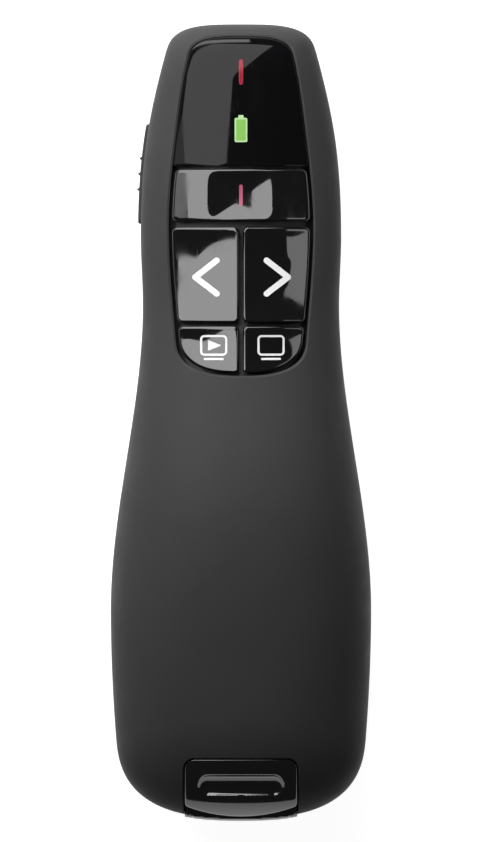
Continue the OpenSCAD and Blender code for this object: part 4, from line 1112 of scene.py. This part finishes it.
# %% [markdown]
# ## Finishes of the inside
#
# Opening the battery door or pulling the receiver out shows what a maker would see: dark frames of
# moulded plastic, ivory plungers, stamped and brushed steel, a green board with traces, chips,
# foil-wrapped cells and gold contacts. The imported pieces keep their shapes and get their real
# finishes here. Assigning a material to an object's slot leaves its mesh alone.

# %% Moulded plastics
def finish_nodes(material, *names):
    """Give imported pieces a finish."""
    for name in names:
        slot = nodes[name].material_slots[0]
        slot.link = "OBJECT"
        slot.material = material
    print(material.name, "finishes", ", ".join(names))


finish_nodes(moulded("inner_plastic", (0.014, 0.014, 0.015), (0.022, 0.022, 0.024),
                     0.5, 2600.0, 9e-6), "key_frame", "battery_tub", "receiver_dock")
finish_nodes(moulded("ivory_plastic", (0.7, 0.68, 0.62), (0.8, 0.79, 0.73), 0.38, 4000.0, 4e-6),
             "slide_switch_lever", *(f"{key}_plunger" for key in KEYS))
finish_nodes(moulded("white_plastic", (0.76, 0.76, 0.74), (0.85, 0.85, 0.83),
                     0.34, 4000.0, 4e-6), "usb_plug_tongue")
finish_nodes(moulded("black_epoxy", (0.02, 0.02, 0.021), (0.034, 0.034, 0.035),
                     0.46, 5200.0, 7e-6), "microcontroller", "power_inductor")


# %% Brushed metals
def metal(name, dark, light, roughness, along=400.0, across=9000.0):
    """Metal with brush lines that change its tone and its gloss."""
    look = new_look(name, roughness, Metallic=1.0)
    lines = look.use(brush_group, Along=along, Across=across)["Lines"]
    worn = look.math("MULTIPLY", look.use(wear_group)["Smudge"], 0.12)
    uneven = look.spread(lines, roughness - 0.06, roughness + 0.08)
    return look.finish(Base_Color=look.shade(lines, dark, light),
                       Roughness=look.math("ADD", worn, uneven),
                       Normal=look.bump(lines, 1.5e-6))


finish_nodes(metal("stamped_steel", (0.5, 0.51, 0.52), (0.7, 0.71, 0.72), 0.3),
             "tact_switches", "slide_switch", "crystal")
finish_nodes(metal("plated_spring_steel", (0.56, 0.57, 0.58), (0.74, 0.75, 0.76),
                   0.2, 2500.0, 2500.0), "laser_leads", "tail_spring", "head_spring",
             "tail_contact", "positive_contact", "negative_contact", "usb_plug_shell")
finish_nodes(metal("zinc_plated_steel", (0.4, 0.4, 0.41), (0.6, 0.6, 0.6),
                   0.34, 3000.0, 3000.0), "case_screws", "board_screws")
finish_nodes(metal("turned_brass", (0.66, 0.45, 0.18), (0.84, 0.65, 0.33),
                   0.24, 9000.0, 500.0), "laser_module")
finish_nodes(metal("gold_flash", (0.78, 0.55, 0.2), (0.9, 0.7, 0.32),
                   0.2, 6000.0, 1200.0), "usb_contacts")


# %% Circuit board: glass laminate, copper traces under green mask, tinned dots
WHITE, BLACK = (1, 1, 1, 1), (0, 0, 0, 1)


def laminate(name):
    look = new_look(name, 0.3)
    place = look.place()
    weave = look.add("TexWave", {"Vector": place, "Scale": 1500.0, "Distortion": 0.6})["Fac"]
    dots = look.add("TexVoronoi", {"Vector": place, "Scale": 380.0, "Randomness": 0.55})
    traces = look.add("TexBrick", {"Vector": place, "Scale": 420.0, "Mortar Size": 0.045,
                                   "Brick Width": 1.9, "Row Height": 0.42, "Color1": BLACK,
                                   "Color2": BLACK, "Mortar": WHITE})["Color"]
    via = look.spread(dots["Distance"], 1.0, 0.0, 0.12, 0.15)
    mask = look.shade(weave, (0.012, 0.12, 0.05), (0.018, 0.15, 0.065))
    traced = look.shade(traces, mask, (0.035, 0.26, 0.11))
    return look.finish(Base_Color=look.shade(via, traced, (0.6, 0.6, 0.58)),
                       Roughness=look.spread(via, 0.34, 0.22),
                       Normal=look.bump(traces, 1.2e-5))


finish_nodes(laminate("board_laminate"), "circuit_board", "receiver_board")


# %% Small chips: dark bodies with tinned ends
def chip_finish(name):
    look = new_look(name, 0.45)
    facing = look.add("SeparateXYZ", {0: look.add("NewGeometry")["True Normal"]})
    end = look.math("GREATER_THAN", look.math("ABSOLUTE", facing["X"]), 0.7)
    body = look.shade(look.noise(900.0, Detail=2.0), (0.025, 0.022, 0.02), (0.05, 0.043, 0.036))
    grain = look.use(grain_group, Per_metre=5200.0)["Grain"]
    return look.finish(Base_Color=look.shade(end, body, (0.58, 0.58, 0.57)), Metallic=end,
                       Normal=look.bump(grain, 6e-6))


finish_nodes(chip_finish("chip_bodies"), "chip_components")


# %% Clear resin of the two status lamps
def resin(name, dark, light):
    look = new_look(name, 0.12, Emission_Strength=0.2, Coat_Weight=0.3)
    cloud = look.noise(1400.0, Detail=3.0)
    shade = look.shade(cloud, dark, light)
    return look.finish(Base_Color=shade, Emission_Color=shade,
                       Roughness=look.spread(cloud, 0.08, 0.2))


finish_nodes(resin("red_lamp_resin", (0.8, 0.5, 0.42), (0.92, 0.62, 0.5)), "laser_status_led")
finish_nodes(resin("green_lamp_resin", (0.72, 0.86, 0.55), (0.8, 0.93, 0.62)),
             "battery_status_led")


# %% The lens in the nose
def lens_finish(name, roughness=0.04):
    """Dark red coated glass: deep in the middle, with a painted sheen that lightens it towards its
    rim.
    """
    look = new_look(name, roughness, Transmission_Weight=0.4, IOR=1.5, Specular_IOR_Level=0.12)
    # Painted sheen: the colour lightens where the face turns away from the view, so the rim looks
    # lighter.
    edge = look.add("LayerWeight", {"Blend": 0.4})["Facing"]
    marks = look.use(wear_group, Smudge=0.06, Scratch=0.08)
    dull = look.math("ADD", marks["Smudge"], marks["Scratch"])
    return look.finish(Base_Color=look.shade(edge, (0.05, 0.002, 0.004), (0.24, 0.02, 0.03)),
                       Roughness=look.math("ADD", dull, roughness))


finish_nodes(lens_finish("dark_red_glass"), "laser_lens")


# %% Foil sleeves of the cells
band_share, line_shares = 0.3, (0.315, 0.33)


def sleeve(name, node, band_at_head):
    """A printed sleeve: silver foil with a dark band and a thin line at its plus end."""
    look = new_look(name, 0.26, Metallic=0.75)
    tail, head = (corner.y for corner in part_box(node))
    plus, minus = (head, tail) if band_at_head else (tail, head)
    along = look.add("SeparateXYZ", {0: look.place()})["Y"]
    share = look.spread(along, 0.0, 1.0, plus, minus)
    band = look.math("LESS_THAN", share, band_share)
    line = look.math("MULTIPLY", look.math("GREATER_THAN", share, line_shares[0]),
                     look.math("LESS_THAN", share, line_shares[1]))
    print(f"{node}: the band covers {band_share * (head - tail) / MM:.1f} mm of the sleeve")
    foil = look.use(brush_group, Along=300.0, Across=5200.0)["Lines"]
    silver = look.shade(foil, (0.42, 0.42, 0.44), (0.56, 0.56, 0.58))
    dark = look.math("ADD", band, line, clamp=True)
    scuffed = look.math("MULTIPLY", look.use(wear_group)["Scratch"], 0.3)
    return look.finish(Base_Color=look.shade(dark, silver, (0.025, 0.05, 0.11)),
                       Roughness=look.math("ADD", scuffed, 0.24), Normal=look.bump(foil, 2e-6))


for node, band_at_head in (("battery_left", True), ("battery_right", False)):
    finish_nodes(sleeve(f"{node}_sleeve", node, band_at_head), node)

showing = [name for name in nodes if not nodes[name].hide_render]
print(len(showing), "packed pieces stay in view, each with its own finish")


# %% [markdown]
# ## Floor, camera and light
#
# The clicker lies on a white floor, and the camera looks straight down on its face from far
# away, so that its length shows without perspective. One large soft lamp hangs above the head
# and to the left, low enough that its edge shows in polished faces: a face that leans a little
# one way mirrors the lamp and one that leans the other way stays black, which is what draws the
# bright patches on the keys. A card behind it lifts the brow, a strip on each side gives the
# keys their second patches, and a weak lamp below shows the belly in views from underneath.

# %% Floor
def mirrored_rays(look, path):
    return look.math("MAXIMUM", path["Is Glossy Ray"], path["Is Transmission Ray"])


def mixed_shader(look, factor, first, second):
    return look.add("MixShader", {0: factor, 1: first, 2: second})[0]


def make_floor(half=12.0, glow=0.95, mirrored_share=0.95):
    """Paper that glows white to the camera and in mirrors, and can't be seen from below."""
    form = bmesh.new()
    bmesh.ops.create_grid(form, x_segments=4, y_segments=4, size=half)
    floor = as_object("floor", form)
    look = new_look("floor_white", 0.9)
    look.finish(Base_Color=look.shade(look.noise(60.0, Detail=3.0), (0.39,) * 3, (0.41,) * 3))
    path = look.add("LightPath")
    mirrored = look.math("MULTIPLY", mirrored_rays(look, path), mirrored_share)
    seen = look.math("MAXIMUM", path["Is Camera Ray"], mirrored)
    dark, white = (look.add("Emission", {"Color": colour, "Strength": strength})[0]
                   for colour, strength in ((BLACK, 0.0), (WHITE, glow)))
    paper = look.add("AddShader", {0: look.tree.nodes["Principled BSDF"].outputs[0],
                                   1: mixed_shader(look, seen, dark, white)})[0]
    clear = look.math("MAXIMUM", look.add("NewGeometry")["Backfacing"], path["Is Shadow Ray"])
    nothing = look.add("BsdfTransparent")[0]
    look.connect(look.tree.nodes["Material Output"].inputs,
                 {"Surface": mixed_shader(look, clear, paper, nothing)})
    paint(look.owner, floor)


make_floor()


# %% World
def make_world():
    """A dim room, but white to the camera and to rays that go down past the floor."""
    world = bpy.data.worlds.new("studio")
    world.use_nodes = True
    ends = world.node_tree.nodes
    look = Look(world, world.node_tree, ends["World Output"].inputs)
    room = ends["Background"]
    look.connect(room.inputs, {"Color": (0.6, 0.6, 0.6, 1.0), "Strength": 0.09})
    height = look.add("SeparateXYZ", {0: look.add("TexCoord")["Generated"]})["Z"]
    path = look.add("LightPath")
    downward = look.math("MULTIPLY", mirrored_rays(look, path),
                         look.math("LESS_THAN", height, 0.0))
    backdrop = look.math("MAXIMUM", path["Is Camera Ray"], downward)
    white = look.add("Background", {"Color": WHITE, "Strength": 1.0})[0]
    bpy.context.scene.world = look.finish(
        Surface=mixed_shader(look, backdrop, room.outputs[0], white))
    print(f"world strength {room.inputs['Strength'].default_value:.2f}")


make_world()

# %% Camera
picture_h, px_per_mm = 842, 6.905
camera_x, camera_y = 0.8, 0.3
scene = bpy.context.scene
lens = bpy.data.cameras.new("camera")
lens.sensor_width = 36.0
lens.lens = 700.0
frame_height = picture_h / px_per_mm
camera_z = frame_height * lens.lens / lens.sensor_width + seam_z
camera = bpy.data.objects.new("camera", lens)
camera.location = Vector((camera_x, camera_y, camera_z)) * MM
scene.collection.objects.link(camera)
scene.camera = camera
scene.view_settings.view_transform = "Standard"
print(f"camera {camera_z:.0f} mm above the table")


# %% Lamps
def area_lamp(name, centre, size, brightness, turn=0.0, target=None):
    """A rectangular lamp in millimetres: flat above the clicker and turned, or facing a target."""
    lamp = bpy.data.lights.new(name, "AREA")
    lamp.shape = "RECTANGLE"
    lamp.size, lamp.size_y = size[0] * MM, size[1] * MM
    lamp.energy = math.pi * brightness * lamp.size * lamp.size_y
    holder = bpy.data.objects.new(name, lamp)
    holder.location = Vector(centre) * MM
    holder.rotation_euler = (0.0, 0.0, math.radians(turn))
    if target:
        away = Vector(centre) - Vector(target)
        holder.rotation_euler = away.to_track_quat("Z", "Y").to_euler()
    holder.visible_camera = False
    scene.collection.objects.link(holder)
    print(f"{name}: {size[0]:.0f} x {size[1]:.0f} mm, {lamp.energy:.3f} W")


def corner_lamp(name, corner, size, above, brightness, turn):
    """A flat lamp given by its lower right corner, from which it reaches left and headwards."""
    angle = math.radians(turn)
    across = Vector((-math.cos(angle), -math.sin(angle)))
    along = Vector((-math.sin(angle), math.cos(angle)))
    middle = Vector(corner) + across * size[0] / 2 + along * size[1] / 2
    area_lamp(name, (*middle, seam_z + above), size, brightness, turn)


corner_lamp("head_lamp", (-38.0, 8.0), (330.0, 520.0), 200.0, 5.0, -23.0)
area_lamp("head_card", (-150.0, 430.0, 95.0), (360.0, 80.0), 10.0, target=(-20.0, 50.0, 20.0))
area_lamp("left_card", (-225.0, 70.0, seam_z + 200.0), (230.0, 44.0), 2.0)
area_lamp("side_card", (49.0, 26.0, seam_z + 60.0), (34.0, 15.0), 2.3)
area_lamp("under_lamp", (0.0, 0.0, -1200.0), (1200.0, 1200.0), 1.3, target=(0.0, 0.0, 0.0))
